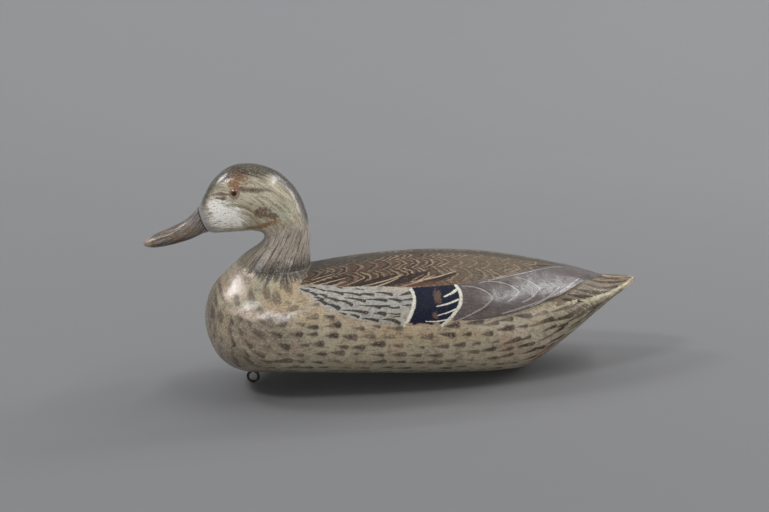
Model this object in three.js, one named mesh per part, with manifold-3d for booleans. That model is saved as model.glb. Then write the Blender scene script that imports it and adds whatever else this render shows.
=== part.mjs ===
// A working duck decoy, a mallard hen, carved in wood and painted.
// Millimetres. +Z is up, the bill points along -X and the tail along +X.
// The origin lies on the flat strip of the underside, below the middle of the body.
import * as THREE from 'three';
import { mergeVertices } from 'three/addons/utils/BufferGeometryUtils.js';
import Module from 'manifold-3d';

const wasm = await Module();
wasm.setup();

// Body, side view: the line of the back, from the neck to the tip of the tail
const CREASE = { x: -67, z: 93.5 };
const WING_TIP_X = 197;
const TAIL_TIP_X = 226.5;
const BACK_LINE = [
  [CREASE.x, CREASE.z], [-30, 99.7], [10, 104.2], [50, 106], [90, 104.2],
  [130, 98.8], [165, 92.2], [WING_TIP_X, 83.8], [TAIL_TIP_X, 82.8],
];
// Body, side view: the line of the keel, from below the neck to the tip of the tail
const FLAT_DEPTH = -0.7;
const KEEL_LINE = [
  [CREASE.x, FLAT_DEPTH], [60, FLAT_DEPTH], [119, 0], [134, 5], [150, 16.5],
  [175, 37.5], [200, 61], [217, 75], [TAIL_TIP_X, 80],
];
// Body, plan view: half the width, from below the neck to the tip of the tail
const HALF_WIDTH = [
  [CREASE.x, 78], [-30, 80], [20, 80], [70, 77], [110, 69], [150, 55],
  [180, 43], [200, 31], [213, 21.5], [222, 12.5], [TAIL_TIP_X, 4],
];
// Height of the widest part of each section, which is the edge of the fan at the tail
const WIDEST_LEVEL = [
  [CREASE.x, 47.5], [20, 48], [90, 51], [140, 57], [165, 62], [190, 69.5], [210, 76.2], [TAIL_TIP_X, 81.3],
];
// Height of the upright edge between the upper and the lower half of a section
const NECK_EDGE_HEIGHT = 0.6;
const EDGE_HEIGHT = [[CREASE.x, 1], [110, 1], [165, 3], [200, 3.6], [TAIL_TIP_X, 2]];
// How full the upper and the lower half of a section are: 2 is an ellipse, more is fuller
const FULL_ABOVE = [[CREASE.x, 2.1], [60, 2.1], [150, 1.95], [WING_TIP_X, 1.75], [TAIL_TIP_X, 1.8]];
const FULL_BELOW = [[CREASE.x, 2.2], [60, 2.2], [130, 2], [175, 1.75], [TAIL_TIP_X, 1.5]];

// Breast, side view, from below the neck round the front and up to the seat of the neck
const BREAST_LINE = [
  { x: CREASE.x, z: FLAT_DEPTH, half: 78, widest: 0.49, above: 2.1, below: 2.2 },
  { x: -106, z: FLAT_DEPTH, half: 76, widest: 0.51, above: 2.1, below: 2.2 },
  { x: -131, z: 0.8, half: 73, widest: 0.53, above: 2.1, below: 2.2 },
  { x: -150, z: 12, half: 68.5, widest: 0.54, above: 2.1, below: 2.2 },
  { x: -160.5, z: 31, half: 62, widest: 0.54, above: 2.1, below: 2.15 },
  { x: -163.5, z: 48, half: 56, widest: 0.53, above: 2.1, below: 2.1 },
  { x: -160.5, z: 65, half: 48, widest: 0.52, above: 2.05, below: 2.05 },
  { x: -152, z: 80.5, half: 39, widest: 0.5, above: 2, below: 2 },
  { x: -139, z: CREASE.z, half: 31.5, widest: 0.5, above: 2, below: 2 },
];

// Folded wings: their lower edge stands proud of the flank, and runs up to the wing tips.
// Each point gives the edge's place as a share of the way from the back to the widest level.
const WING_EDGE = [
  [CREASE.x, 0.88], [55, 0.885], [90, 0.88], [125, 0.81], [140, 0.755], [153, 0.69],
  [163, 0.61], [173, 0.5], [184, 0.35], [WING_TIP_X, 0.12],
];
const WING_STEP = [[CREASE.x, 0], [45, 0], [85, 1.6], [130, 2.6], [175, 2.6], [WING_TIP_X, 0.6], [TAIL_TIP_X, 0]];

// Head and neck: each pair gives the throat side and the nape side of one section
const HEAD_GAP = 0.3;
const HEAD_SECTIONS = [
  { inner: [-139, CREASE.z], outer: [CREASE.x, CREASE.z], half: 31.5, widest: 0.5, full: 2 },
  { inner: [-125.8, 104.6], outer: [-67, 103], half: 28, widest: 0.5, full: 2.05 },
  { inner: [-114.2, 112.6], outer: [-67, 113], half: 25.5, widest: 0.5, full: 2.1 },
  { inner: [-108.6, 118.8], outer: [-67.2, 126], half: 24, widest: 0.5, full: 2.15 },
  { inner: [-109.6, 123.8], outer: [-71, 145], half: 24, widest: 0.5, full: 2.2 },
  { inner: [-117.5, 125.6], outer: [-80.7, 164.8], half: 25, widest: 0.46, full: 2.2 },
  { inner: [-125.6, 125], outer: [-98, 179.8], half: 25.5, widest: 0.44, full: 2.2 },
  { inner: [-133.8, 124.3], outer: [-119.8, 185.6], half: 25, widest: 0.43, full: 2.2 },
  { inner: [-142.8, 123.6], outer: [-139.8, 182], half: 23.5, widest: 0.43, full: 2.2 },
  { inner: [-151.8, 123.2], outer: [-154.6, 168.8], half: 20.5, widest: 0.45, full: 2.2 },
  { inner: [-160.2, 123.4], outer: [-166.4, 147.6], half: 15.5, widest: 0.45, full: 2.2 },
  { inner: [-175.5, 116.9], outer: [-178, 135.6], half: 12.5, widest: 0.4, full: 2.2 },
  { inner: [-191.5, 112.3], outer: [-193.5, 127.2], half: 12.5, widest: 0.4, full: 2.3 },
  { inner: [-205, 110], outer: [-206.5, 121.8], half: 13, widest: 0.45, full: 2.3 },
  { inner: [-213.8, 110.4], outer: [-214.5, 117.6], half: 9.5, widest: 0.5, full: 2.2 },
  { inner: [-217, 113], outer: [-217.2, 114.6], half: 3, widest: 0.5, full: 2 },
];

// Glass eyes
const EYE = { x: -131, y: 19.3, z: 162.5, radius: 5 };
const SOCKET_GAP = 0.3;

// Screw eye for the anchor line, its shank in the wood and its ring below
const TIE = { x: -121.7, ringRadius: 4.9, wire: 1.2, ringCentre: -12.1, shankTop: 14 };
const TIE_CLEARANCE = 0.3;
const TIE_HOLE_LENGTH = 30;

// Fineness of the faceted surfaces
const BODY_STEPS = 38;
const BREAST_STEPS = 20;
const HEAD_STEPS = 42;
const WING_SIDES = 6;
const FLANK_SIDES = 3;
const BELLY_SIDES = 9;
const HEAD_SIDES = 26;
const EYE_SIDES = 18;
const EYE_ROWS = 12;
const WIRE_SIDES = 10;
const RING_STEPS = 28;
const SHANK_SIDES = 12;
// Share of the body's sections that draws together towards the tip of the tail
const TAIL_EASING = 0.45;
// Width of the step at the wing's edge, and of the body's upright edge, in quarter turns
const WING_SLIT = 0.02;
const UPRIGHT_SLIT = 0.0001;
// Points closer than this are one point
const SAME_POINT = 1e-4;

const wood = new THREE.MeshStandardMaterial({ color: 0x8f7f66, roughness: 0.45, metalness: 0 });
const headWood = new THREE.MeshStandardMaterial({ color: 0x9a8f7c, roughness: 0.4, metalness: 0 });
const glass = new THREE.MeshStandardMaterial({ color: 0x5a2412, roughness: 0.08, metalness: 0 });
const steel = new THREE.MeshStandardMaterial({ color: 0x3c3f42, roughness: 0.55, metalness: 0.8 });

// A smooth line through points given as [place, value, value, ...], with slopes from the neighbours
function smoothLine(points) {
  const slope = (i, k) => {
    const a = points[Math.max(i - 1, 0)];
    const b = points[Math.min(i + 1, points.length - 1)];
    return (b[k] - a[k]) / (b[0] - a[0]);
  };
  return (place, k = 1) => {
    let i = 0;
    while (i < points.length - 2 && place > points[i + 1][0]) i += 1;
    const [p, q] = [points[i], points[i + 1]];
    const span = q[0] - p[0];
    const t = Math.min(Math.max((place - p[0]) / span, 0), 1);
    const rise = t * t * (3 - 2 * t);
    return p[k] + (q[k] - p[k]) * rise
      + span * t * (1 - t) * ((1 - t) * slope(i, k) - t * slope(i + 1, k));
  };
}

const mix = (a, b, t) => a + (b - a) * t;
const power = (value, exponent) => Math.sign(value) * Math.abs(value) ** exponent;

// One closed section between a top point and a bottom point, as a list of Vector3.
// turns holds the places on the near half, from 0 at the top to 1 at the widest level and 2 at the bottom.
function sectionRing(section, turns) {
  const { top, bottom, half, widest, edge, above, below, lift } = section;
  const length = Math.hypot(bottom.x - top.x, bottom.z - top.z);
  const along = { x: (bottom.x - top.x) / length, z: (bottom.z - top.z) / length };
  const upper = widest * length - edge / 2;
  const lower = (1 - widest) * length - edge / 2;
  const place = (turn, side) => {
    const angle = Math.min(turn, 2) * Math.PI / 2;
    const onTop = turn <= 1;
    const exponent = 2 / (onTop ? above : below);
    const down = onTop
      ? upper - upper * power(Math.cos(angle), exponent)
      : upper + edge + lower * power(-Math.cos(angle), exponent);
    const out = half * power(Math.sin(angle), exponent);
    const raise = lift ? lift(turn) : 0;
    return new THREE.Vector3(
      top.x + along.x * down,
      side * (out + raise * Math.sin(angle) ** 2),
      top.z + along.z * down + raise * Math.cos(angle) ** 2,
    );
  };
  const near = turns.map((turn) => place(turn, -1));
  const far = turns.slice(1, -1).reverse().map((turn) => place(turn, 1));
  return [...near, ...far];
}

// Points below the underside are drawn up to it, and the first of them to its exact edge
function flattenRing(ring) {
  const count = ring.length;
  return ring.map((point, i) => {
    if (point.z >= 0) return point;
    for (const other of [ring[(i + count - 1) % count], ring[(i + 1) % count]]) {
      if (other.z > 0) {
        const share = other.z / (other.z - point.z);
        return new THREE.Vector3(mix(other.x, point.x, share), mix(other.y, point.y, share), 0);
      }
    }
    return new THREE.Vector3(point.x, point.y, 0);
  });
}

// A closed surface through rings of equal length, with a fan of faces on each end
function loft(rings) {
  const sides = rings[0].length;
  const positions = rings.flat().flatMap((point) => point.toArray());
  const index = [];
  for (let i = 0; i + 1 < rings.length; i += 1) {
    for (let j = 0; j < sides; j += 1) {
      const a = i * sides + j;
      const b = i * sides + (j + 1) % sides;
      index.push(a, a + sides, b, b, a + sides, b + sides);
    }
  }
  const cap = (start, flip) => {
    const centre = new THREE.Vector3();
    rings[start].forEach((point) => centre.add(point));
    centre.divideScalar(sides);
    const middle = positions.length / 3;
    positions.push(...centre.toArray());
    for (let j = 0; j < sides; j += 1) {
      const a = start * sides + j;
      const b = start * sides + (j + 1) % sides;
      index.push(...(flip ? [middle, b, a] : [middle, a, b]));
    }
  };
  cap(0, false);
  cap(rings.length - 1, true);
  const geometry = new THREE.BufferGeometry();
  geometry.setAttribute('position', new THREE.Float32BufferAttribute(positions, 3));
  geometry.setIndex(index);
  return geometry;
}

// Closed solids for cutting and joining
function toSolid(geometry) {
  const bare = geometry.clone();
  bare.deleteAttribute('normal');
  bare.deleteAttribute('uv');
  const merged = mergeVertices(bare, SAME_POINT);
  return new wasm.Manifold(new wasm.Mesh({
    numProp: 3,
    vertProperties: new Float32Array(merged.attributes.position.array),
    triVerts: new Uint32Array(merged.index.array),
  }));
}

function toGeometry(solid) {
  const mesh = solid.getMesh();
  const geometry = new THREE.BufferGeometry();
  geometry.setAttribute('position', new THREE.Float32BufferAttribute(mesh.vertProperties, 3));
  geometry.setIndex(new THREE.Uint32BufferAttribute(mesh.triVerts, 1));
  geometry.computeVertexNormals();
  return geometry;
}

const backLine = smoothLine(BACK_LINE);
const keelLine = smoothLine(KEEL_LINE);
const halfWidth = smoothLine(HALF_WIDTH);
const widestLevel = smoothLine(WIDEST_LEVEL);
const edgeHeight = smoothLine(EDGE_HEIGHT);
const fullAbove = smoothLine(FULL_ABOVE);
const fullBelow = smoothLine(FULL_BELOW);
const wingEdge = smoothLine(WING_EDGE);
const wingStep = smoothLine(WING_STEP);

// Places round the near half of a section, with two close together at the edge of the wing
function bodyTurns(edge) {
  const turns = [];
  for (let i = 0; i <= WING_SIDES; i += 1) turns.push((edge - WING_SLIT) * i / WING_SIDES);
  for (let i = 0; i < FLANK_SIDES; i += 1) turns.push(mix(edge, 1, i / FLANK_SIDES));
  turns.push(1, 1 + UPRIGHT_SLIT);
  for (let i = 1; i <= BELLY_SIDES; i += 1) turns.push(1 + i / BELLY_SIDES);
  return turns;
}

function bodyRing(x) {
  const top = backLine(x);
  const bottom = keelLine(x);
  const step = wingStep(x);
  const edge = wingEdge(x);
  return sectionRing({
    top: { x, z: top },
    bottom: { x, z: bottom },
    half: halfWidth(x),
    widest: (top - widestLevel(x)) / (top - bottom),
    edge: edgeHeight(x),
    above: fullAbove(x),
    below: fullBelow(x),
    lift: (turn) => (turn < edge - WING_SLIT / 2 ? step * Math.min(turn / edge, 1) : 0),
  }, bodyTurns(edge));
}

function breastRing(share) {
  const rows = BREAST_LINE.map((row, i) => [i, row.x, row.z, row.half, row.widest, row.above, row.below]);
  const line = smoothLine(rows);
  const place = share * (rows.length - 1);
  return sectionRing({
    top: CREASE,
    bottom: { x: line(place, 1), z: line(place, 2) },
    half: line(place, 3),
    widest: line(place, 4),
    edge: mix(edgeHeight(CREASE.x), NECK_EDGE_HEIGHT, share),
    above: line(place, 5),
    below: line(place, 6),
  }, bodyTurns(wingEdge(CREASE.x)));
}

function bodySolid() {
  const rings = [];
  for (let i = 0; i < BODY_STEPS; i += 1) {
    const share = i / BODY_STEPS;
    const eased = mix(share, 1 - Math.cos(share * Math.PI / 2), TAIL_EASING);
    rings.push(bodyRing(mix(TAIL_TIP_X, CREASE.x, eased)));
  }
  for (let i = 0; i <= BREAST_STEPS; i += 1) rings.push(breastRing(i / BREAST_STEPS));
  const holeRadius = TIE.wire + TIE_CLEARANCE;
  const pilotHole = new THREE.CylinderGeometry(holeRadius, holeRadius, TIE_HOLE_LENGTH, SHANK_SIDES);
  pilotHole.rotateX(Math.PI / 2);
  pilotHole.translate(TIE.x, 0, TIE.shankTop + TIE_CLEARANCE - TIE_HOLE_LENGTH / 2);
  return toSolid(loft(rings.map(flattenRing))).subtract(toSolid(pilotHole));
}

function headRing(share) {
  const rows = HEAD_SECTIONS.map((row, i) => [i, ...row.inner, ...row.outer, row.half, row.widest, row.full]);
  const line = smoothLine(rows);
  const place = share * (rows.length - 1);
  const turns = [];
  for (let i = 0; i <= HEAD_SIDES / 2; i += 1) turns.push(i * 4 / HEAD_SIDES);
  return sectionRing({
    top: { x: line(place, 3), z: line(place, 4) },
    bottom: { x: line(place, 1), z: line(place, 2) },
    half: line(place, 5),
    widest: 1 - line(place, 6),
    edge: 0,
    above: line(place, 7),
    below: line(place, 7),
  }, turns);
}

function eyeball(side, radius) {
  const ball = new THREE.SphereGeometry(radius, EYE_SIDES, EYE_ROWS);
  ball.rotateX(Math.PI / 2);
  ball.translate(EYE.x, side * EYE.y, EYE.z);
  return ball;
}

function headSolid() {
  const rings = [];
  for (let i = 0; i <= HEAD_STEPS; i += 1) rings.push(headRing(i / HEAD_STEPS));
  const carved = loft(rings);
  carved.translate(0, 0, HEAD_GAP);
  let solid = toSolid(carved);
  for (const side of [-1, 1]) solid = solid.subtract(toSolid(eyeball(side, EYE.radius + SOCKET_GAP)));
  return solid;
}

function screwEye() {
  const ring = new THREE.TorusGeometry(TIE.ringRadius, TIE.wire, WIRE_SIDES, RING_STEPS);
  ring.rotateX(Math.PI / 2);
  ring.translate(TIE.x, 0, TIE.ringCentre);
  const shankBottom = TIE.ringCentre + TIE.ringRadius;
  const shank = new THREE.CylinderGeometry(TIE.wire, TIE.wire, TIE.shankTop - shankBottom, SHANK_SIDES);
  shank.rotateX(Math.PI / 2);
  shank.translate(TIE.x, 0, (TIE.shankTop + shankBottom) / 2);
  return toSolid(ring).add(toSolid(shank));
}

const decoy = new THREE.Group();

function addPiece(name, geometry, material) {
  const mesh = new THREE.Mesh(geometry, material);
  mesh.name = name;
  decoy.add(mesh);
}

addPiece('body', toGeometry(bodySolid()), wood);
addPiece('head', toGeometry(headSolid()), headWood);
addPiece('eye_left', eyeball(-1, EYE.radius), glass);
addPiece('eye_right', eyeball(1, EYE.radius), glass);
addPiece('line_tie', toGeometry(screwEye()), steel);

export default decoy;
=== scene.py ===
"""The looks of a carved and painted duck decoy, a mallard hen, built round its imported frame."""
import math

import bpy
import numpy as np
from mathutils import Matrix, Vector


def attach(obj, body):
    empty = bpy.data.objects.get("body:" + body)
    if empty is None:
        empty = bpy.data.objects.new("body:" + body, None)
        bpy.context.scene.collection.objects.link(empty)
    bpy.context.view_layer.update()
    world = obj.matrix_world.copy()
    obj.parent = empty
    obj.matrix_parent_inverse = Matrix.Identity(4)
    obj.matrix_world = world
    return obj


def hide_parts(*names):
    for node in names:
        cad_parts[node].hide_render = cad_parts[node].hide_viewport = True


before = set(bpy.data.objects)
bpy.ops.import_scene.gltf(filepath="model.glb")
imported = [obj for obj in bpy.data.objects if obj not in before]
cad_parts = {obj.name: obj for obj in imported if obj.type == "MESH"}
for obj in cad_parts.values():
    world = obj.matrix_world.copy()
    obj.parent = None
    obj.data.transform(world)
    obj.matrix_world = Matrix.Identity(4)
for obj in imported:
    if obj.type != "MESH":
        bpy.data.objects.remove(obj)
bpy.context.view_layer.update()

# Lengths are in millimetres, and Blender's are in metres
MM = 0.001
ORIGIN = (0, 0, 0)

# Camera, square to the decoy's side, as in the photograph; its focal length and horizon are in pixels
PHOTO_WIDTH = 769
PHOTO_HEIGHT = 512
FOCAL_PIXELS = 1093
HORIZON_ROW = 20
CAMERA_DISTANCE = 967
CAMERA_HEIGHT = 310.5
SENSOR = 36
CLIP_END = 20


def smooth_line(points):
    """A smooth line through points given as (place, value, value, ...), slopes from the neighbours."""
    table = np.array(points, float)
    place = table[:, 0]
    before = np.maximum(np.arange(len(table)) - 1, 0)
    after = np.minimum(np.arange(len(table)) + 1, len(table) - 1)
    slopes = (table[after] - table[before]) / (place[after] - place[before])[:, None]

    def value(at, column=1):
        at = np.asarray(at, float)
        i = np.clip(np.searchsorted(place, at, "right") - 1, 0, len(place) - 2)
        span = place[i + 1] - place[i]
        t = np.clip((at - place[i]) / span, 0, 1)
        low, high = table[i, column], table[i + 1, column]
        bend = (1 - t) * slopes[i, column] - t * slopes[i + 1, column]
        return low + (high - low) * t * t * (3 - 2 * t) + span * t * (1 - t) * bend

    return value


# Body, side view: the line of the back and of the keel
CREASE_X, CREASE_Z = -67, 93.5
WING_TIP_X = 197
TAIL_TIP_X = 226.5
FLAT_DEPTH = -0.7
back_line = smooth_line([
    (CREASE_X, CREASE_Z), (-30, 99.7), (10, 104.2), (50, 106), (90, 104.2),
    (130, 98.8), (165, 92.2), (WING_TIP_X, 83.8), (TAIL_TIP_X, 82.8),
])
keel_line = smooth_line([
    (CREASE_X, FLAT_DEPTH), (60, FLAT_DEPTH), (119, 0), (134, 5), (150, 16.5),
    (175, 37.5), (200, 61), (217, 75), (TAIL_TIP_X, 80),
])
# Body, plan view, and the shape of its sections
half_width = smooth_line([
    (CREASE_X, 78), (-30, 80), (20, 80), (70, 77), (110, 69), (150, 55),
    (180, 43), (200, 31), (213, 21.5), (222, 12.5), (TAIL_TIP_X, 4),
])
widest_level = smooth_line([
    (CREASE_X, 47.5), (20, 48), (90, 51), (140, 57), (165, 62), (190, 69.5), (210, 76.2), (TAIL_TIP_X, 81.3),
])
edge_height = smooth_line([(CREASE_X, 1), (110, 1), (165, 3), (200, 3.6), (TAIL_TIP_X, 2)])
full_above = smooth_line([(CREASE_X, 2.1), (60, 2.1), (150, 1.95), (WING_TIP_X, 1.75), (TAIL_TIP_X, 1.8)])
full_below = smooth_line([(CREASE_X, 2.2), (60, 2.2), (130, 2), (175, 1.75), (TAIL_TIP_X, 1.5)])
# Breast, from below the neck round the front and up to the neck's seat:
# x, z, half width, widest place, fullness above, fullness below
BREAST_LINE = [
    (CREASE_X, FLAT_DEPTH, 78, 0.49, 2.1, 2.2),
    (-106, FLAT_DEPTH, 76, 0.51, 2.1, 2.2),
    (-131, 0.8, 73, 0.53, 2.1, 2.2),
    (-150, 12, 68.5, 0.54, 2.1, 2.2),
    (-160.5, 31, 62, 0.54, 2.1, 2.15),
    (-163.5, 48, 56, 0.53, 2.1, 2.1),
    (-160.5, 65, 48, 0.52, 2.05, 2.05),
    (-152, 80.5, 39, 0.5, 2, 2),
    (-139, CREASE_Z, 31.5, 0.5, 2, 2),
]
# Height of the upright band at the widest place, where the breast meets the neck
NECK_EDGE = 0.6
# Folded wings: the place of their lower edge on each section, and how far it stands proud
wing_edge = smooth_line([
    (CREASE_X, 0.88), (55, 0.885), (90, 0.88), (125, 0.81), (140, 0.755), (153, 0.69),
    (163, 0.61), (173, 0.5), (184, 0.35), (WING_TIP_X, 0.12),
])
wing_step = smooth_line([
    (CREASE_X, 0), (45, 0), (85, 1.6), (130, 2.6), (175, 2.6), (WING_TIP_X, 0.6), (TAIL_TIP_X, 0),
])
# Head and neck: throat side x and z, nape side x and z, half width, widest place, fullness
HEAD_SECTIONS = [
    (-139, CREASE_Z, CREASE_X, CREASE_Z, 31.5, 0.5, 2),
    (-125.8, 104.6, -67, 103, 28, 0.5, 2.05),
    (-114.2, 112.6, -67, 113, 25.5, 0.5, 2.1),
    (-108.6, 118.8, -67.2, 126, 24, 0.5, 2.15),
    (-109.6, 123.8, -71, 145, 24, 0.5, 2.2),
    (-117.5, 125.6, -80.7, 164.8, 25, 0.46, 2.2),
    (-125.6, 125, -98, 179.8, 25.5, 0.44, 2.2),
    (-133.8, 124.3, -119.8, 185.6, 25, 0.43, 2.2),
    (-142.8, 123.6, -139.8, 182, 23.5, 0.43, 2.2),
    (-151.8, 123.2, -154.6, 168.8, 20.5, 0.45, 2.2),
    (-160.2, 123.4, -166.4, 147.6, 15.5, 0.45, 2.2),
    (-175.5, 116.9, -178, 135.6, 12.5, 0.4, 2.2),
    (-191.5, 112.3, -193.5, 127.2, 12.5, 0.4, 2.3),
    (-205, 110, -206.5, 121.8, 13, 0.45, 2.3),
    (-213.8, 110.4, -214.5, 117.6, 9.5, 0.5, 2.2),
    (-217, 113, -217.2, 114.6, 3, 0.5, 2),
]
# How far the head is lifted off the body at its seat, and by how much more above its foot
SEAM = 0.02
HEAD_GAP = 0.3
# Centre of the right eye; the left eye mirrors it
EYE = (-131, 19.3, 162.5)
EYE_RADIUS = 5
# Screw eye: its place, the height and radius of its ring, the radius of its wire, and the top of its shank
TIE_X, TIE_CENTRE, TIE_RING, TIE_WIRE, TIE_TOP = -121.7, -12.1, 4.9, 1.2, 14
breast_line = smooth_line([(i, *row) for i, row in enumerate(BREAST_LINE)])
head_line = smooth_line([(i, *row) for i, row in enumerate(HEAD_SECTIONS)])

# How fine the pieces are: sections along them, how much these crowd at the tail, points on the near half of
# each, and the gaps between points that stand close together for a step, in quarter turns
MAIN_STATIONS = 262
BREAST_STATIONS = 112
TAIL_EASING = 0.45
WING_POINTS, FLANK_POINTS, BELLY_POINTS = 46, 24, 48
HEAD_STATIONS, HEAD_POINTS = 300, 80
WING_SLIT = 0.02
UPRIGHT_SLIT = 0.0001

# Rounding off between flank and breast: its reach in sections, its rounds, and where round each it starts
EASED_STATIONS = 12
EASING_ROUNDS = 60
EASED_FROM = 0.35
EASED_OVER = 0.3

# Dabs on breast and flank: how far apart, how big, where along them the blunt end starts, the depth off them,
# how many sections to each side one may cover, and the random seeds of the two sides
DAB_SPACING = 16.5
DAB_LENGTH = 14.5
DAB_WIDTH = 7.4
DAB_BLUNT = 0.78
DAB_MISS = -3.0
DAB_WINDOW = 30
DAB_SEEDS = (3, 11)
# Heights of the rows of dabs, which rise behind a place on the flank, and the fewest sections that make a row
ROW_LEVELS = (83, 75, 66.5, 58, 50, 41.5, 33, 25, 17.5, 11, 6, 2.6)
LEVEL_TO = 60
LEAST_ROW = 8
# No dabs behind a place, or above a height on the breast ahead of another
DABS_END = 200
BREAST_TOP, BREAST_END = 64, -70
# How a dab's direction, size and slimness change along the body, and its size with the height above the keel
TURN_ALONG = (-138, -96), (1.45, 0)
SIZE_ALONG = (-140, -100, 70, 140), (0.8, 1, 1, 1.55)
SLIM_ALONG = (60, 140), (1, 0.42)
SIZE_UP = (4, 16), (0.5, 1)

# Carving, chips, the groove at the bill, and the corner that is filled at the neck. Waves in the wood have a
# seed, and a shortest and longest wavelength.
WAVE_COUNT = 14
CARVED_WAVES = (21, 9, 34)
CHIP_WAVES = (33, 3.5, 12)
CARVED_DEPTH = 0.32
CARVED_CONTRAST = 0.32
CHIP_REACH = 2.5
CHIP_DEPTH = 0.7
FLARE_REACH = 16
FLARE_DEPTH = 2.2
NECK_MIDDLE = (-103, 0)
NECK_HALF_SIZES = (36, 31.5)
BORDER_WIDTH = 1.1
BORDER_DEPTH = 0.45

# How fine the eyes and the screw eye are, the radii where the colours of the glass change, and where the
# screw eye's ring starts and stops
EYE_STATIONS = 40
EYE_SIDES = 64
EYE_POLE = 0.03
PUPIL_EDGE = (1.4, 1.9)
IRIS_SHADES = (2.6, 4.6)
IRIS_EDGE = (3.5, 4.2)
TIE_SIDES = 24
SHANK_POINTS = 24
RING_POINTS = 90
TIE_START = math.radians(20)
TIE_GAP = math.radians(14)

# Resting on its anchor ring and on the rear of its underside, the decoy stands on a sloping line
REAR_REST_X = 119
TIE_BOTTOM = TIE_CENTRE - TIE_RING - TIE_WIRE

# Floor: its flat part, the radius and the steepest slope of its bend, and how fine it is
STAGE_FLAT = 1600
STAGE_BEND = 2400
STAGE_STEEPEST = math.radians(62)
STAGE_BENDS, STAGE_SIDES = 12, 72

# Lamps and room; the lamps' distances and sizes are in metres
LIGHT_DISTANCE = 2.6
LAMP_COLOUR = (0.98, 0.99, 1)
# Softboxes: degrees right of the camera, degrees up, width, height, brightness and whether paint mirrors them
SOFTBOXES = {
    "left back softbox": (-108, 43, 0.55, 0.6, 15.0, True),
    "left front softbox": (-57, 47, 0.65, 0.32, 30.0, True),
    "overhead softbox": (84, 62, 2.3, 0.28, 13.0, True),
    "right back softbox": (136, 46, 0.6, 0.4, 6.0, True),
    "right softbox": (108, 26, 0.5, 1.2, 10.0, True),
    "low right softbox": (46, 9, 0.35, 0.5, 16.0, True),
    "front fill": (6, 4, 2.6, 0.9, 5.8, False),
}
BACKDROP_LIGHT = (0, 2.0, 2.4)
BACKDROP_AIM = (0, 3.1, 0.4)
BACKDROP_SIZE = (6, 0.8)
BACKDROP_POWER = 105
LIGHT_AIM = (0, 0, 0.08)
ROOM_BRIGHTNESS = 0.3
ROOM_COLOUR = (0.97, 0.98, 1, 1)


def linear(red, green, blue):
    """A colour given as it looks on a screen, 0 to 255, as the amounts of light it stands for."""
    screen = [value / 255 for value in (red, green, blue)]
    light = [v / 12.92 if v <= 0.04045 else ((v + 0.055) / 1.055) ** 2.4 for v in screen]
    return (*light, 1)


# Paint of the body
TAN = linear(178, 162, 137)
TAN_OLIVE = linear(167, 158, 134)
TAN_PINK = linear(168, 138, 113)
TAN_WORN = linear(200, 191, 172)
DAB_AND_SHADE_BROWN = linear(84, 71, 61)
TAN_OCHRE = linear(168, 146, 108)
TAN_GREEN = linear(140, 147, 124)
BREAST_PINK = linear(212, 192, 176)
DEEP_BROWN = linear(48, 39, 32)
INK_BROWN = linear(38, 33, 28)
# Brown of grime, and of the painted shade down the front of the neck
SHADE_AND_GRIME = linear(70, 60, 50)
WORN_BROWN = linear(104, 82, 70)
TAIL_CREAM = linear(204, 195, 168)
TAIL_BROWN = linear(112, 98, 76)
UNDER_TAIL_SHADE = linear(104, 95, 84)
COVERT_GREY = linear(152, 149, 142)
COVERT_PALE = linear(172, 169, 161)
NAVY = linear(10, 16, 36)
NAVY_DUSTY = linear(44, 54, 74)
WHITE_PAINT = linear(216, 212, 196)
PRIMARY_BROWN = linear(78, 69, 67)
PRIMARY_PALE = linear(102, 92, 88)
LINE_GREY = linear(158, 151, 145)
BACK_BROWN = linear(84, 68, 55)
BACK_WARM = linear(108, 88, 70)
BACK_TAN = linear(172, 154, 128)
LANCE_BROWN = linear(44, 33, 29)
RIDGE_OLIVE = linear(54, 51, 45)
RUMP_BROWN = linear(84, 71, 58)
RUMP_PALE = linear(118, 104, 84)
RUST_BROWN = linear(104, 68, 52)

# Paint of the neck
NECK_BROWN = linear(158, 147, 134)
NECK_PALE = linear(194, 184, 170)
NECK_DARK = linear(38, 31, 27)

# Paint of the head
HEAD_CREAM = linear(196, 187, 166)
HEAD_KHAKI = linear(162, 151, 126)
HEAD_GREEN = linear(166, 172, 148)
HEAD_BROWN = linear(102, 86, 70)
HEAD_DARK = linear(50, 42, 37)
CROWN_DARK = linear(34, 27, 22)
FACE_WHITE = linear(250, 246, 238)
CROWN_RUST = linear(126, 78, 44)
CHEEK_RUST = linear(92, 66, 53)
OCHRE = linear(138, 94, 52)
LAVENDER = linear(150, 147, 154)
NAPE_GREY = linear(116, 111, 116)
EYELID = linear(128, 102, 84)
BILL_GREY = linear(138, 131, 128)
BILL_BROWN = linear(92, 80, 70)
BILL_OCHRE = linear(126, 104, 76)
BILL_DARK = linear(50, 40, 36)
BILL_TIP = linear(176, 162, 144)
BILL_RED = linear(128, 72, 56)
BORDER_PINK = linear(176, 148, 138)

# Sheen of the paint and of its varnish, and the height of its brush marks and of rust, in metres
PAINT_SPECULAR = 0.22
VARNISH_ROUGHNESS = 0.17
VARNISH_IOR = 1.55
BRUSH_MARKS = 0.0005
RUST_MARKS = 0.0002

# Glass, steel and floor
PUPIL = linear(10, 8, 8)
IRIS_BROWN = linear(104, 50, 32)
IRIS_LIGHT = linear(142, 88, 62)
IRIS_RIM = linear(60, 38, 30)
STEEL_DARK = linear(52, 48, 46)
STEEL_RUST = linear(78, 60, 50)
STAGE_GREY = linear(116, 116, 117)

# Where the paint of the bill begins, where its lower edge ends and how it slopes, the radii between which the
# eyelid's paint stops, and the place below the chin that the cheek's streaks run round
BILL_LINE = (-157.5, 125.9)
BILL_LINE_LEAN = 0.41
BILL_END = -213.8
BILL_SLOPE = 0.22
EYELID_EDGE = (4.7, 5.4)
CHIN = (-143, 99)

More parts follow.
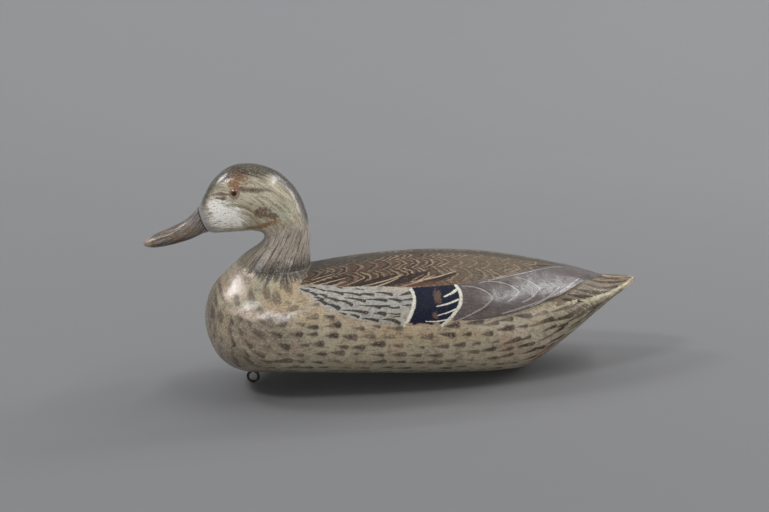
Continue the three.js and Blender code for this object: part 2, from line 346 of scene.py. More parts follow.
# Areas of paint on the body, given as distance along it and distance from the ridge
SCAPULAR_BORDER = [
    (-80, 42), (-58, 48), (-47, 52), (-34, 57), (-10, 60), (13, 63), (30, 63.6), (52, 62.3), (62, 60.8),
    (73, 57.5), (100, 48), (128, 29), (154, 5), (175, -4),
]
COVERT_TOP = [(-75, 46), (-58, 49), (-47, 52), (-34, 57), (-10, 60), (13, 63), (24, 64)]
COVERT_BOTTOM = [(-77, 49), (-63, 64.5), (-46, 79), (-33, 86), (-20, 91.5), (0, 96.2), (18, 98)]
COVERT_END = [(26, 72), (25, 84)]
SPECULUM = [
    (23, 64), (41, 63), (62, 61), (65, 74), (61, 86), (49, 98), (38, 98.6), (17, 98.4), (24, 86), (26, 76),
]
# Lean of the back's front border, where the folded wing and the edge of the tail's fan start, the depth that
# stands for places off that edge, and the depth outside all areas where the ground is bare
BACK_LEAN = 0.17
WING_START = 58
FAN_START = 140
OFF_FAN = 30
BARE_MARGIN = -1.5
TAIL_FAN = [
    (226.5, 0), (197, 3), (184, 18), (173, 27), (153, 45.5), (148, 66), (156, 62), (175, 51.5),
    (189, 41.5), (204, 30), (214.5, 20.4), (226.5, 5),
]
FAN_EDGE = [(150, 65.5), (156, 61), (175, 50.5), (189, 40.5), (204, 29), (214.5, 19.4), (226.5, 1)]

# Strokes of the brush: start along and around, end along and around, bow, half width.
# Bow bends a level stroke down and an upright one to the breast.
WHITE_BARS = [
    (22.5, 65.5, 25.3, 77, -0.8, 1.2), (25.3, 76.5, 23.8, 85, -0.3, 1.5), (23.9, 84.5, 17, 98.3, -0.8, 1.3),
    (61, 62, 65, 75, -1.2, 1.3), (65, 74.5, 62.3, 84, -0.6, 1.35), (62.4, 83.5, 48.5, 99, -1, 1.2),
]
WHITE_DASHES = [
    (51, 73.4, 62.5, 65, 0.9, 1.15), (44, 82.5, 62.5, 76, 0.9, 0.75),
    (45, 90.4, 60.5, 84.5, 0.6, 0.55), (35, 95.4, 53.5, 93.6, 0.9, 0.5),
]
COVERT_DASHES = [
    (-74, 49.5, -67, 54.5, 0, 1.2), (-70, 48, -60, 52, 0, 0.8), (-67, 56, -59, 61, -0.5, 1.3),
    (-60, 53, -52, 57.6, -0.6, 0.8), (-58, 60.1, -50, 64.6, -0.6, 1.2), (-61, 63.3, -53, 67.8, -0.6, 1.2),
    (-58, 67.2, -50, 72.2, -0.6, 1.4), (-51, 57.5, -36, 64.6, -0.5, 1.1), (-38, 62.7, -21, 67.8, -0.5, 1),
    (-24, 67, -10, 68.9, -0.6, 1.2), (-51, 66, -40, 71.2, -0.8, 1.3), (-40, 71, -28, 76.9, -1.1, 1.2),
    (-50, 72.6, -39, 78.6, -0.8, 1.5), (-34, 69.2, -17, 74.4, -0.6, 1.1), (-16, 73, 1, 75.6, -0.5, 1.2),
    (-8, 66.8, 6, 70.4, -0.8, 1.1), (2, 74.4, 13, 77, -0.8, 1.2), (-23, 77.4, 4, 81, 0.6, 0.8),
    (-16, 79.4, -4, 81.8, -0.8, 1.1), (2, 81, 12, 82.6, 1, 0.9), (-37, 80.6, -15, 85.3, -0.5, 1.1),
    (-9, 86.6, 0, 87.8, -0.5, 1.5), (3, 87, 13, 88.4, 0.6, 0.6), (6, 91, 13, 90.6, -0.3, 0.5),
    (-39, 82.6, -33, 84.8, -0.3, 0.7), (-29, 85.6, -22, 88.4, -0.4, 1), (-19, 90, -6, 93, -0.5, 1.1),
    (-1, 92.4, 12, 96.2, -1.3, 1.3), (13, 71.6, 21, 69.4, 0, 1.3), (14, 76.2, 23, 75.7, 0, 0.9),
    (15, 81.2, 23, 81, 0, 0.8), (-44, 54.6, -37, 57.4, -0.5, 0.7), (-28, 60.2, -18, 62.4, -0.3, 0.5),
]
WING_LINES = [
    (66, 62.5, 80, 63.4, -0.9, 0.45), (80, 63.4, 92.4, 71.2, -1.4, 0.5),
    (92.4, 71.2, 77, 86, -1.4, 0.55), (77, 86, 57, 96.2, -0.6, 0.5),
    (82, 56.7, 103, 53.8, -1.5, 0.4), (103, 53.8, 115.5, 60.2, -1, 0.5), (115.5, 60.2, 105.5, 72, -0.8, 0.55),
    (113, 43.7, 134.4, 51.4, -2.6, 0.45), (134.4, 51.4, 118.4, 69.5, -1.6, 0.55),
    (152.6, 44.2, 124.6, 72.6, -1.8, 0.55), (172, 26, 137, 62, -2.6, 0.5), (137, 62, 100, 84, -1, 0.5),
    (90, 53, 130, 29.5, 1.5, 0.5), (130, 29.5, 160, 6, 0.5, 0.45),
]
WING_SHADOWS = [
    (80, 61.6, 94.5, 70.5, -1.4, 0.8), (94.5, 71.5, 79, 87.5, -1.4, 0.55), (103, 52, 117.8, 60, -1, 0.6),
    (112, 42, 136, 50.5, -2.6, 0.5), (162, 39, 118, 79, -1.5, 0.7), (183, 16, 150, 50, -1.8, 0.9),
    (150, 50, 112, 81.5, -1.2, 0.7), (186, 8, 164, 33, -1, 0.6),
]
TAIL_LINES = [
    (193, 8, 211, 8.4, -0.6, 1.3), (184, 20, 216, 12.5, 1.2, 1.4), (177, 31, 207, 23.5, 1.8, 1.3),
    (168, 42, 196, 33, 1.8, 1.3), (160, 50.5, 186, 43, 1.2, 1.2), (154, 57, 172, 52, 0.8, 1.1),
]
DARK_LANCES = [
    (-38, 59.3, 40, 43, 6.6, 4.4), (-31, 56.2, 10, 46.5, 2.6, 2.8), (17, 62.5, 64, 45, 3.6, 2.4),
    (-44, 57.4, -16, 48.6, 1.4, 2.2), (-60, 46.5, -33, 41.5, 0.8, 2.2), (-66, 43, -48, 36.5, 0.5, 1.8),
    (-53, 51.5, -34, 45.5, 0.6, 1.7), (130, 20, 156, 4, 1.2, 1.3), (-62, 36, -40, 31, 0.4, 1.8),
]
LANCE_EDGES = [
    (-24, 58.6, 16, 48, 2.2, 0.7), (-14, 61.6, 12, 51.6, 1.6, 0.7), (-40, 56.8, -18, 48, 0.9, 0.65),
    (10, 62.6, 42, 50.6, 2.2, 0.7), (22, 57.5, 62, 43.5, 2.6, 0.7), (-62, 48.8, -34, 44.6, 0.6, 0.65),
    (-67, 45.5, -46, 39, 0.4, 0.6), (-54, 54, -33, 49.6, 0.7, 0.65), (92, 51.5, 134, 24, 1.2, 0.7),
    (-64, 39.6, -44, 33.6, 0.4, 0.6),
]

# Spots on the breast, seen from the side: place along, height, half length, half height, slope
BREAST_MARKS = [
    (-115, 76, 3, 5.6, -0.35), (-102, 80, 3.4, 6, -0.4), (-93, 76.5, 4, 5.6, -0.5),
    (-84, 83.5, 5.6, 3.2, 0.75), (-128, 73, 2.6, 4.6, -0.25), (-151, 59, 2.2, 6, -0.2),
    (-143, 58, 3.2, 5, -0.1), (-145, 77, 1.8, 7, -0.6), (-149, 69, 1.8, 6, -0.3),
    (-135, 91, 2.2, 8, -0.75), (-107, 67, 3.4, 2.6, 0.3), (-124, 61, 3.4, 4, 0.1),
    (-87, 62.5, 6, 2.6, -0.2), (-99, 62, 3.4, 3.2, 0.2), (-78, 70, 5, 2.2, -0.25),
]
BREAST_WORN = [(-131, 87, 6, 12, -0.5), (-122, 95, 8, 4, 0.5), (-137, 76, 5, 5, 0.2), (-117, 64, 14, 4, 0.1)]
BREAST_GREEN = [(-110, 82, 2.6, 9, 0.1), (-106, 89, 3, 4, 0.3), (-60, 8, 30, 6, 0), (20, 9, 40, 5, 0)]
BREAST_OCHRE = [(-84, 76, 16, 10, 0), (-103, 74, 8, 8, 0), (-62, 64, 14, 6, -0.4), (30, 50, 60, 7, 0)]
FLANK_PALE = [(112, 50, 46, 9, 0.4), (30, 8, 110, 8, 0), (-90, 12, 40, 8, 0)]
# Painted shade in the brown of the dabs: down the front of breast and neck foot, and over the lower and
# middle breast
BREAST_SHADE = [
    (-155, 60, 9, 36, -0.25), (-134, 101, 8, 22, -0.75), (-126, 22, 36, 17, 0.4), (-106, 50, 34, 16, 0.2),
]
NECK_FOOT_DULL = (-98, 92, 30, 7, 0)

# Spots on the head, given in the same way
CHEEK_GREEN = [(-135, 154, 8, 4, 0), (-121, 131, 9, 3.5, 0), (-91, 146, 9, 7, 0)]
WHITE_FACE = [(-140, 141, 14, 11, 0), (-146, 150, 9, 8, 0), (-131, 138, 8, 7, 0)]
CROWN_SPOTS = [(-128, 177, 9, 5.5, 0.1), (-131, 169, 7, 2.6, 0.3)]
CHEEK_SPOTS = [(-107, 146, 7, 4.4, -0.2), (-98, 143, 5, 3, 0.2), (-141, 158, 3, 1.6, 0)]
OCHRE_LINES = [(-104, 134.6, 12, 1.9, -0.3), (-118, 131, 5, 1.3, -0.1), (-133, 172, 5, 3, 0.4)]
EYE_STRIPE = [(-142.5, 161.5, 7, 1.2, 0), (-144, 158, 5, 0.9, 0), (-115, 165.6, 13, 1.9, 0.03)]
LIGHT_LINE = (-113, 161.6, 13, 1.3, 0.05)
BILL_SPOTS = [(-189, 122.5, 15, 4, 0.4), (-175, 128, 8, 3.4, 0.4), (-207, 115, 8, 3, 0.3)]
HEAD_DULL = [(-108, 98, 16, 8, 0), (-109, 104, 8, 9, 0), (-122, 184, 22, 8, 0), (-190, 122, 30, 12, 0.45)]

# Spots on the body, given by distance along it and distance from the ridge
BACK_RUST = [(44, 60.5, 38, 3.4, 0.06), (20, 63.5, 14, 1.8, 0), (-36, 55, 15, 2.2, 0.3)]
COVERT_STAINS = [(10, 66, 16, 2.6, 0), (8, 91, 7, 4, 0), (19, 90, 4, 6, 0)]
SPECULUM_WORN = [(45, 73.5, 3.2, 7, 0.12), (43, 90.5, 2.4, 2.8, 0)]
SPECULUM_EDGE_WORN = [(32, 98.2, 6, 1.3, 0), (44, 97.6, 3, 1.3, 0), (20, 97.6, 4, 1.2, 0)]


def section_points(top, bottom, half, widest, edge, above, below, turns, lift=0):
    """Points of the near half of each section. turns runs from 0 at the top to 2 at the bottom."""
    top, bottom = np.stack(top, -1)[:, None, :], np.stack(bottom, -1)[:, None, :]
    length = np.linalg.norm(bottom - top, axis=-1)
    along = (bottom - top) / length[..., None]
    half, widest, edge, above, below = (np.asarray(v)[:, None] for v in (half, widest, edge, above, below))
    angle = turns * math.pi / 2
    cosine, sine = np.abs(np.cos(angle)), np.abs(np.sin(angle))
    exponent = 2 / np.where(turns <= 1, above, below)
    upper = widest * length - edge / 2
    lower = (1 - widest) * length - edge / 2
    down = np.where(turns <= 1, upper - upper * cosine ** exponent, upper + edge + lower * cosine ** exponent)
    out = half * sine ** exponent
    x = top[..., 0] + along[..., 0] * down
    z = top[..., 1] + along[..., 1] * down
    return np.stack([x, -(out + lift * sine ** 2), z + lift * cosine ** 2], -1)


def mirrored(points):
    """The near half of each section, followed by the far half back to the top."""
    return np.concatenate([points, points[:, -2:0:-1] * (1, -1, 1)], 1)


def both_sides(values):
    """Values of the near half, repeated in the order of the mirrored points."""
    return np.concatenate([values, values[:, -2:0:-1]], 1)


def surface_normals(rings):
    """Unit normals of a grid of points that closes round each ring."""
    along = np.gradient(rings, axis=0)
    around = (np.roll(rings, -1, 1) - np.roll(rings, 1, 1)) / 2
    normal = np.cross(along, around)
    return normal / np.maximum(np.linalg.norm(normal, axis=-1, keepdims=True), 1e-9)


def path_lengths(points, axis):
    """Distance covered from the first point, along one axis of a grid of points."""
    steps = np.linalg.norm(np.diff(points, axis=axis), axis=-1)
    start = np.zeros_like(np.take(steps, [0], axis))
    return np.concatenate([start, np.cumsum(steps, axis)], axis)


def mesh_from_rings(name, rings):
    """A closed mesh through rings, in millimetres, with a fan of faces on each end."""
    count, sides = rings.shape[:2]
    i, j = np.meshgrid(np.arange(count - 1), np.arange(sides), indexing="ij")
    a, b = i * sides + j, i * sides + (j + 1) % sides
    faces = np.stack([a, a + sides, b + sides, b], -1).reshape(-1, 4).tolist()
    first, last = count * sides, count * sides + 1
    start = (count - 1) * sides
    for k in range(sides):
        following = (k + 1) % sides
        faces.append([first, k, following])
        faces.append([last, start + following, start + k])
    verts = np.concatenate([rings.reshape(-1, 3), [rings[0].mean(0), rings[-1].mean(0)]])
    piece = mesh_piece(name, verts, faces)
    smooth = np.ones(len(piece.data.polygons), bool)
    smooth[-2 * sides:] = False
    piece.data.polygons.foreach_set("use_smooth", smooth)
    return piece


def add_object(name, data):
    """A new object in the scene."""
    piece = bpy.data.objects.new(name, data)
    bpy.context.scene.collection.objects.link(piece)
    return piece


def mesh_piece(name, verts, faces):
    """A smooth-shaded piece from points in millimetres, at the origin, with its place in its mesh."""
    mesh = bpy.data.meshes.new(name)
    mesh.from_pydata((np.asarray(verts) * MM).tolist(), [], faces)
    mesh.update()
    mesh.polygons.foreach_set("use_smooth", [True] * len(mesh.polygons))
    return add_object(name, mesh)


def store_values(piece, columns):
    """Named values for each point of a piece, such as how deep it lies inside an area of paint."""
    for name, values in columns.items():
        ends = [values[0].mean(), values[-1].mean()]
        attribute = piece.data.attributes.new(name, "FLOAT", "POINT")
        attribute.data.foreach_set("value", np.append(values.ravel(), ends).astype(np.float32))


def read_values(items, name, kind, width=1):
    """One value, or several, of each item of a mesh, in one long row."""
    values = np.zeros(len(items) * width, kind)
    items.foreach_get(name, values)
    return values


def store_flow(piece, along, around):
    """A UV map that follows the carving, in millimetres: along it, and round it from the ridge."""
    mesh = piece.data
    vertex = read_values(mesh.loops, "vertex_index", np.int32)
    centre_y = read_values(mesh.polygons, "center", np.float32, 3)[1::3]
    side = np.repeat(np.where(centre_y > 0, -1.0, 1.0), read_values(mesh.polygons, "loop_total", np.int32))
    along = np.append(along.ravel(), [along[0].mean(), along[-1].mean()])[vertex]
    around = np.append(around.ravel(), [around[0].mean(), around[-1].mean()])[vertex]
    flow = mesh.uv_layers.new(name="flow")
    flow.data.foreach_set("uv", np.stack([along, around * side], 1).astype(np.float32).ravel())


def body_grid():
    """The near half of the body: its points, their places between ridge and keel, and their flow."""
    share = np.linspace(0, 1, MAIN_STATIONS)
    eased = share + (1 - np.cos(share * math.pi / 2) - share) * TAIL_EASING
    x = TAIL_TIP_X + (CREASE_X - TAIL_TIP_X) * eased
    edge = wing_edge(x)
    main_turns = body_turns(edge)
    inside_wing = main_turns < (edge - WING_SLIT / 2)[:, None]
    lift = wing_step(x)[:, None] * np.minimum(main_turns / edge[:, None], 1) * inside_wing
    top, bottom = back_line(x), keel_line(x)
    main = section_points(
        (x, top), (x, bottom), half_width(x), (top - widest_level(x)) / (top - bottom),
        edge_height(x), full_above(x), full_below(x), main_turns, lift,
    )
    place = np.linspace(0, len(BREAST_LINE) - 1, BREAST_STATIONS)[1:]
    columns = [breast_line(place, k) for k in range(1, 7)]
    crease = (np.full_like(place, CREASE_X), np.full_like(place, CREASE_Z))
    front_turns = body_turns(np.full_like(place, wing_edge(CREASE_X)))
    neck_edge = np.interp(place, (0, len(BREAST_LINE) - 1), (edge_height(CREASE_X), NECK_EDGE))
    front = section_points(
        crease, (columns[0], columns[1]), columns[2], columns[3],
        neck_edge, columns[4], columns[5], front_turns,
    )
    points = np.concatenate([main, front])
    turns = np.concatenate([main_turns, front_turns])
    front_flow = CREASE_X - path_lengths(np.concatenate([main[-1:], front]), 0)[1:]
    along = np.concatenate([np.repeat(x[:, None], turns.shape[1], 1), front_flow])
    points = ease_join(points, MAIN_STATIONS - 1, np.clip((turns - EASED_FROM) / EASED_OVER, 0, 1))
    points[..., 2] = np.maximum(points[..., 2], 0)
    return points, turns, along, path_lengths(points, 1)


def ease_join(points, station, share):
    """Round off the slight crease between the flank and the breast, by the given share at each point."""
    reach = np.clip(1.6 - np.abs(np.arange(len(points)) - station) / EASED_STATIONS, 0, 1)[:, None]
    amount = (reach * share)[..., None] * 0.5
    for _ in range(EASING_ROUNDS):
        middle = (points[:-2] + points[2:]) / 2
        points[1:-1] += (middle - points[1:-1]) * amount[1:-1]
    return points


def body_turns(edge):
    """Places round the near half of each section, with two close together at the edge of the wing."""
    edge = edge[:, None]
    wing = (edge - WING_SLIT) * np.linspace(0, 1, WING_POINTS)
    flank = edge + (1 - edge) * np.linspace(0, 1, FLANK_POINTS)
    belly = np.linspace(1 + UPRIGHT_SLIT, 2, BELLY_POINTS) + 0 * edge
    return np.concatenate([wing, flank, belly], 1)


def head_grid():
    """The near half of the head, from the seat of the neck to the tip of the bill, and its flow."""
    place = np.linspace(0, len(HEAD_SECTIONS) - 1, HEAD_STATIONS)
    throat_x, throat_z, nape_x, nape_z, half, widest, full = (head_line(place, k) for k in range(1, 8))
    turns = np.repeat(np.linspace(0, 2, HEAD_POINTS)[None], len(place), 0)
    lift = HEAD_GAP * np.clip(place, 0, 1) + SEAM
    points = section_points(
        (nape_x, nape_z + lift), (throat_x, throat_z + lift),
        half, 1 - widest, 0 * half, full, full, turns,
    )
    return points, path_lengths(points, 0), path_lengths(points, 1)


def polygon_depth(along, around, corners):
    """How deep each place lies inside a shape, in millimetres, below zero outside it."""
    corners = np.array(corners, float)
    nearest = np.full(along.shape, 1e9)
    inside = np.zeros(along.shape, bool)
    for (ax, ay), (bx, by) in zip(corners, np.roll(corners, -1, 0)):
        share = ((along - ax) * (bx - ax) + (around - ay) * (by - ay)) / ((bx - ax) ** 2 + (by - ay) ** 2)
        share = np.clip(share, 0, 1)
        gap = np.hypot(along - ax - share * (bx - ax), around - ay - share * (by - ay))
        nearest = np.minimum(nearest, gap)
        crosses = (ay > around) != (by > around)
        meets = ax + (around - ay) * (bx - ax) / (by - ay if by != ay else 1e-9)
        inside ^= crosses & (along < meets)
    return np.where(inside, nearest, -nearest)


def dab_depth(ahead, aside, length, width):
    """How deep each place lies inside one dab of the brush, pointed at its start and blunt at its end."""
    share = ahead / length + 0.5
    rise = np.clip(share, 0, 1) ** 0.7
    fall = np.sqrt(np.clip(1 - np.clip((share - DAB_BLUNT) / (1 - DAB_BLUNT), 0, 1) ** 2, 0, 1))
    return np.minimum(width / 2 * rise * fall - np.abs(aside), (0.5 - np.abs(share - 0.5)) * length)


def level_line(points, levels):
    """Where each section crosses a height of its own: the point's number, or -1 where it doesn't."""
    heights = points[..., 2]
    below = heights <= levels[:, None]
    crossing = below.argmax(1)
    return np.where(below.any(1) & (crossing > 0), crossing, -1)


def flow_dabs(points, normals, rows, rng, size_at):
    """Dabs in staggered rows round the breast and along the flank, as their depth at each point.

    Each row holds a point's number on every section. The dabs point back on the flank and down in front.
    """
    depth = np.full(points.shape[:2], DAB_MISS)
    for number, row in enumerate(rows):
        used = np.flatnonzero(row >= 0)[::-1]
        if len(used) < LEAST_ROW:
            continue
        line = points[used, row[used]]
        travelled = np.concatenate([[0], np.cumsum(np.linalg.norm(np.diff(line, axis=0), axis=1))])
        at = DAB_SPACING * (0.25 if number % 2 else 0.75)
        while at < travelled[-1]:
            place = at + rng.uniform(-0.22, 0.22) * DAB_SPACING
            size, stretch = rng.uniform(0.72, 1.18), rng.uniform(0.8, 1.25)
            sway, tilt = rng.uniform(-1.6, 1.6), rng.uniform(-0.16, 0.16)
            fade = rng.uniform(0, 1.1)
            at += DAB_SPACING
            k = int(np.clip(np.searchsorted(travelled, place), 2, len(line) - 3))
            i, centre = used[k], line[k]
            scale, slimness = size_at(i, row[i])
            if scale <= 0:
                continue
            back = line[k + 2] - line[k - 2]
            back /= np.linalg.norm(back)
            down = np.cross(back, normals[i, row[i]])
            turn = np.interp(centre[0], *TURN_ALONG) + tilt
            ahead_line = back * math.cos(turn) + down * math.sin(turn)
            aside_line = np.cross(normals[i, row[i]], ahead_line)
            low, high = max(i - DAB_WINDOW, 0), i + DAB_WINDOW + 1
            near = points[low:high] - centre
            length = DAB_LENGTH * size * scale * stretch
            width = DAB_WIDTH * size * scale * slimness
            mark = dab_depth(near @ ahead_line, near @ aside_line + sway, length, width)
            mark = (mark - fade * slimness) / max(slimness, 0.5)
            mark = np.where(np.linalg.norm(near, axis=-1) < DAB_LENGTH * 1.4, mark, DAB_MISS)
            depth[low:high] = np.maximum(depth[low:high], mark)
    return depth


class Nodes:
    """The nodes of one tree."""

    def __init__(self, tree):
        self.tree = tree

    def add(self, kind, *values, **settings):
        node = self.tree.nodes.new(kind)
        for name, value in settings.items():
            setattr(node, name, value)
        for socket, value in zip(node.inputs, values):
            self.feed(socket, value)
        return node

    def feed(self, socket, value):
        if isinstance(value, Signal):
            self.tree.links.new(value.socket, socket)
        elif value is not None:
            socket.default_value = value

    def output(self, kind, *values, **settings):
        """The first output of a new node."""
        return Signal(self, self.add(kind, *values, **settings).outputs[0])

    def value(self, name):
        """A value that is stored in the mesh under a name."""
        return Signal(self, self.add("ShaderNodeAttribute", attribute_name=name).outputs["Fac"])

    def place(self):
        """The place on the piece, in millimetres."""
        return Signal(self, self.add("ShaderNodeTexCoord").outputs["Object"]) * (1000, 1000, 1000)

    def flow(self):
        """Distances along the carving and round it, and the two together."""
        flow = self.output("ShaderNodeUVMap", uv_map="flow")
        along, around, _ = split(flow)
        return along, around, flow

    def bump(self, height, strength, distance):
        node = self.add("ShaderNodeBump", strength, distance)
        self.feed(node.inputs["Height"], height)
        return Signal(self, node.outputs[0])


class Signal:
    """An output of a node. Sums of signals and numbers make maths nodes, and vector maths for places."""

    def __init__(self, nodes, socket):
        self.nodes = nodes
        self.socket = socket

    def __add__(self, other):
        return maths("ADD", self, other)

    def __sub__(self, other):
        return maths("SUBTRACT", self, other)

    def __rsub__(self, other):
        return maths("SUBTRACT", other, self)

    def __mul__(self, other):
        return maths("MULTIPLY", self, other)

    def __truediv__(self, other):
        return maths("DIVIDE", self, other)

    def __pow__(self, other):
        return maths("POWER", self, other)

    def __abs__(self):
        return maths("ABSOLUTE", self)


class Sockets:
    """The inputs of one node, filled by name with a signal or a value."""

    def __init__(self, nodes, node):
        self.nodes = nodes
        self.inputs = node.inputs

    def __setitem__(self, name, value):
        self.nodes.feed(self.inputs[name], value)


def nodes_of(values):
    """The nodes that the first signal among the values belongs to."""
    return next(value.nodes for value in values if isinstance(value, Signal))


def maths(operation, *values):
    """The result of one operation, on numbers or on places."""
    nodes = nodes_of(values)
    is_place = any(isinstance(value, Signal) and value.socket.type == "VECTOR" for value in values)
    node = nodes.add("ShaderNodeVectorMath" if is_place else "ShaderNodeMath", *values, operation=operation)
    gives_place = is_place and operation not in ("DOT_PRODUCT", "LENGTH")
    return Signal(nodes, node.outputs["Vector" if gives_place else "Value"])


def highest(first, second):
    return maths("MAXIMUM", first, second)


def unit(value):
    """The value kept between 0 and 1, in plain steps, which keep a long shader within its limits."""
    return maths("MINIMUM", highest(value, 0), 1)


def step(value, low, high):
    """A smooth change from 0 at low to 1 at high."""
    settings = {"interpolation_type": "SMOOTHSTEP", "clamp": False}
    return value.nodes.output("ShaderNodeMapRange", value, low, high, 0, 1, **settings)


def combine(x, y, z=0):
    return x.nodes.output("ShaderNodeCombineXYZ", x, y, z)


def split(place):
    return [Signal(place.nodes, socket) for socket in place.nodes.add("ShaderNodeSeparateXYZ", place).outputs]


def noise(place, scale, detail, roughness):
    node = place.nodes.add("ShaderNodeTexNoise")
    for name, value in (("Vector", place), ("Scale", scale), ("Detail", detail), ("Roughness", roughness)):
        place.nodes.feed(node.inputs[name], value)
    return Signal(place.nodes, node.outputs["Fac"])


def mix(share, first, second):
    """The first colour turned into the second by a share."""
    nodes = nodes_of((share, first, second))
    node = nodes.add("ShaderNodeMix", data_type="RGBA")
    sockets = {socket.identifier: socket for socket in (*node.inputs, *node.outputs)}
    for name, value in (("Factor_Float", share), ("A_Color", first), ("B_Color", second)):
        nodes.feed(sockets[name], value)
    return Signal(nodes, sockets["Result_Color"])


def over(mask, colour, paint, strength=1):
    """The colour with a paint laid over it where the mask is up."""
    return mix(mask * strength, colour, paint)


def new_material(name, roughness=0.45):
    """A material, its nodes, and the inputs of its shader."""
    material = bpy.data.materials.new(name)
    material.use_nodes = True
    nodes = Nodes(material.node_tree)
    shader = Sockets(nodes, material.node_tree.nodes["Principled BSDF"])
    shader["Roughness"] = roughness
    return material, nodes, shader


def new_group(name, inputs, *outputs):
    """The inputs, made from names with first values, and the outputs of a new shader group."""
    tree = bpy.data.node_groups.new(name, "ShaderNodeTree")
    for title, value in inputs.items():
        kind = "Float" if isinstance(value, float) else {3: "Vector", 4: "Color"}[len(value)]
        socket = tree.interface.new_socket(title, in_out="INPUT", socket_type="NodeSocket" + kind)
        socket.default_value = value
    for title in outputs:
        kind = "NodeSocketColor" if title == "Colour" else "NodeSocketFloat"
        tree.interface.new_socket(title, in_out="OUTPUT", socket_type=kind)
    nodes = Nodes(tree)
    given = {socket.name: Signal(nodes, socket) for socket in nodes.add("NodeGroupInput").outputs}
    return given, Sockets(nodes, nodes.add("NodeGroupOutput"))


def group(name, **values):
    """The outputs, by name, of a shader group that is placed among the nodes of its inputs."""
    nodes = nodes_of(values.values())
    node = nodes.add("ShaderNodeGroup", node_tree=bpy.data.node_groups[name])
    for title, value in values.items():
        nodes.feed(node.inputs[title.replace("_", " ")], value)
    return {socket.name: Signal(nodes, socket) for socket in node.outputs}


def build_brush_line():
    """A thin painted line from a place, in a direction, bowed to one side and tapered, with soft edges."""
    inputs = {
        "Place": ORIGIN, "Start": ORIGIN, "Ahead": (1, 0, 0), "Aside": (0, 1, 0), "Length": 10.0,
        "Bow": 0.0, "Width": 0.5, "From": 1.0, "To": 1.0, "Bulge": 0.0,
    }
    given, result = new_group("Brush line", inputs, "Mask")
    from_start = given["Place"] - given["Start"]
    ahead = maths("DOT_PRODUCT", from_start, given["Ahead"])
    aside = maths("DOT_PRODUCT", from_start, given["Aside"])
    share = ahead / given["Length"]
    inside = unit(share)
    curve = inside * (1 - inside) * 4
    off = aside - curve * given["Bow"]
    past = (share - inside) * given["Length"]
    gap = maths("LENGTH", combine(off, past))
    taper = inside * (given["To"] - given["From"])
    taper = given["From"] + taper + curve * given["Bulge"]
    width = given["Width"] * taper
    result["Mask"] = 1 - step(gap, width * 0.6, width * 1.4)


def brush_lines(place, strokes, start=1, end=1, bulge=0):
    """All the strokes of one list, as one mask; start, end and bulge shape their width."""
    result = None
    for start_along, start_around, end_along, end_around, bow, width in strokes:
        length = math.hypot(end_along - start_along, end_around - start_around)
        run, rise = (end_along - start_along) / length, (end_around - start_around) / length
        mask = group(
            "Brush line", Place=place, Start=(start_along, start_around, 0), Ahead=(run, rise, 0),
            Aside=(-rise, run, 0), Length=length, Bow=bow, Width=width, From=start, To=end, Bulge=bulge,
        )["Mask"]
        result = mask if result is None else highest(result, mask)
    return result


def build_scale_feathers():
    """Rows of overlapping pointed feathers with dark middles and light lines that follow the edge."""
    inputs = {"Along": 0.0, "Around": 0.0, "Length": 12.5, "Width": 19.0, "Curve": 0.7}
    given, result = new_group("Scale feathers", inputs, "Light", "Dark", "Shade")
    nodes = result.nodes
    across = given["Around"] / given["Width"]
    row = maths("FLOOR", across)
    local = (across - row - 0.5) * 2
    bend = abs(local) ** 1.5 * given["Curve"]
    travel = given["Along"] / given["Length"] + row * 0.45 + bend
    share = maths("FRACT", travel)
    feather = combine(maths("FLOOR", travel), row)
    shade = nodes.output("ShaderNodeTexWhiteNoise", feather, noise_dimensions="2D")

    def band(start, end, soft=0.07):
        rise = step(share, start - soft, start + soft)
        return rise * (1 - step(share, end - soft, end + soft))

    faint = shade * 0.7 + 0.3
    result["Light"] = highest(band(0.84, 0.98, 0.05) * faint, band(0.46, 0.55) * step(shade, 0.35, 0.75))
    result["Dark"] = highest(band(0.58, 0.82), band(0.12, 0.4, 0.12) * faint)
    result["Shade"] = shade


def build_soft_patch():
    """A patch round a place, with a ragged edge."""
    inputs = {"Place": ORIGIN, "Centre": ORIGIN, "Size": (10, 10, 1), "Slope": 0.0, "Fray": 0.0, "Soft": 0.35}
    given, result = new_group("Soft patch", inputs, "Mask")
    nodes = result.nodes
    near = given["Place"] - given["Centre"]
    turned = nodes.add("ShaderNodeVectorRotate", near, rotation_type="Z_AXIS")
    nodes.feed(turned.inputs["Angle"], given["Slope"])
    reach = maths("LENGTH", Signal(nodes, turned.outputs[0]) / given["Size"]) + given["Fray"]
    result["Mask"] = 1 - step(reach, 1 - given["Soft"], given["Soft"] + 1)


def patches(place, fray, *spots, soft=0.35):
    """Patches given as centre along and across, half sizes along and across, and slope, as one mask."""
    result = None
    for centre_x, centre_z, size_x, size_z, slope in spots:
        mask = group(
            "Soft patch", Place=place, Centre=(centre_x, centre_z, 0), Size=(size_x, size_z, 1),
            Slope=slope, Fray=fray, Soft=soft,
        )["Mask"]
        result = mask if result is None else highest(result, mask)
    return result


def build_neck_streaks():
    """Fine hair-like streaks that run down the neck and spread over its foot."""
    given, result = new_group("Neck streaks", {"Place": ORIGIN}, "Light", "Dark", "Foot")
    x, y, z = split(given["Place"])
    height = z - CREASE_Z
    axis = height * 0.42 - 94
    turn = maths("ARCTAN2", y, x - axis)
    line = combine(turn * 11, z * 0.035)
    result["Light"] = step(noise(line, 1.5, 3, 0.65), 0.5, 0.64)
    shifted = line + (7.3, 2.1, 0)
    result["Dark"] = step(noise(shifted, 1.2, 3, 0.7), 0.47, 0.6)
    tips = (noise(line, 0.9, 3, 0.75) - 0.5) * 30
    from_front = (1 - step(x, -142, -98)) * 13
    over_foot = z + tips - (from_front + 87)
    slant = x - height * 0.5
    ahead_of_wings = 1 - step(slant + tips * 0.1, -69, -66)
    above = highest(ahead_of_wings, step(z, 93.6, 94.2))
    result["Foot"] = step(over_foot, -2.2, 2.2) * above


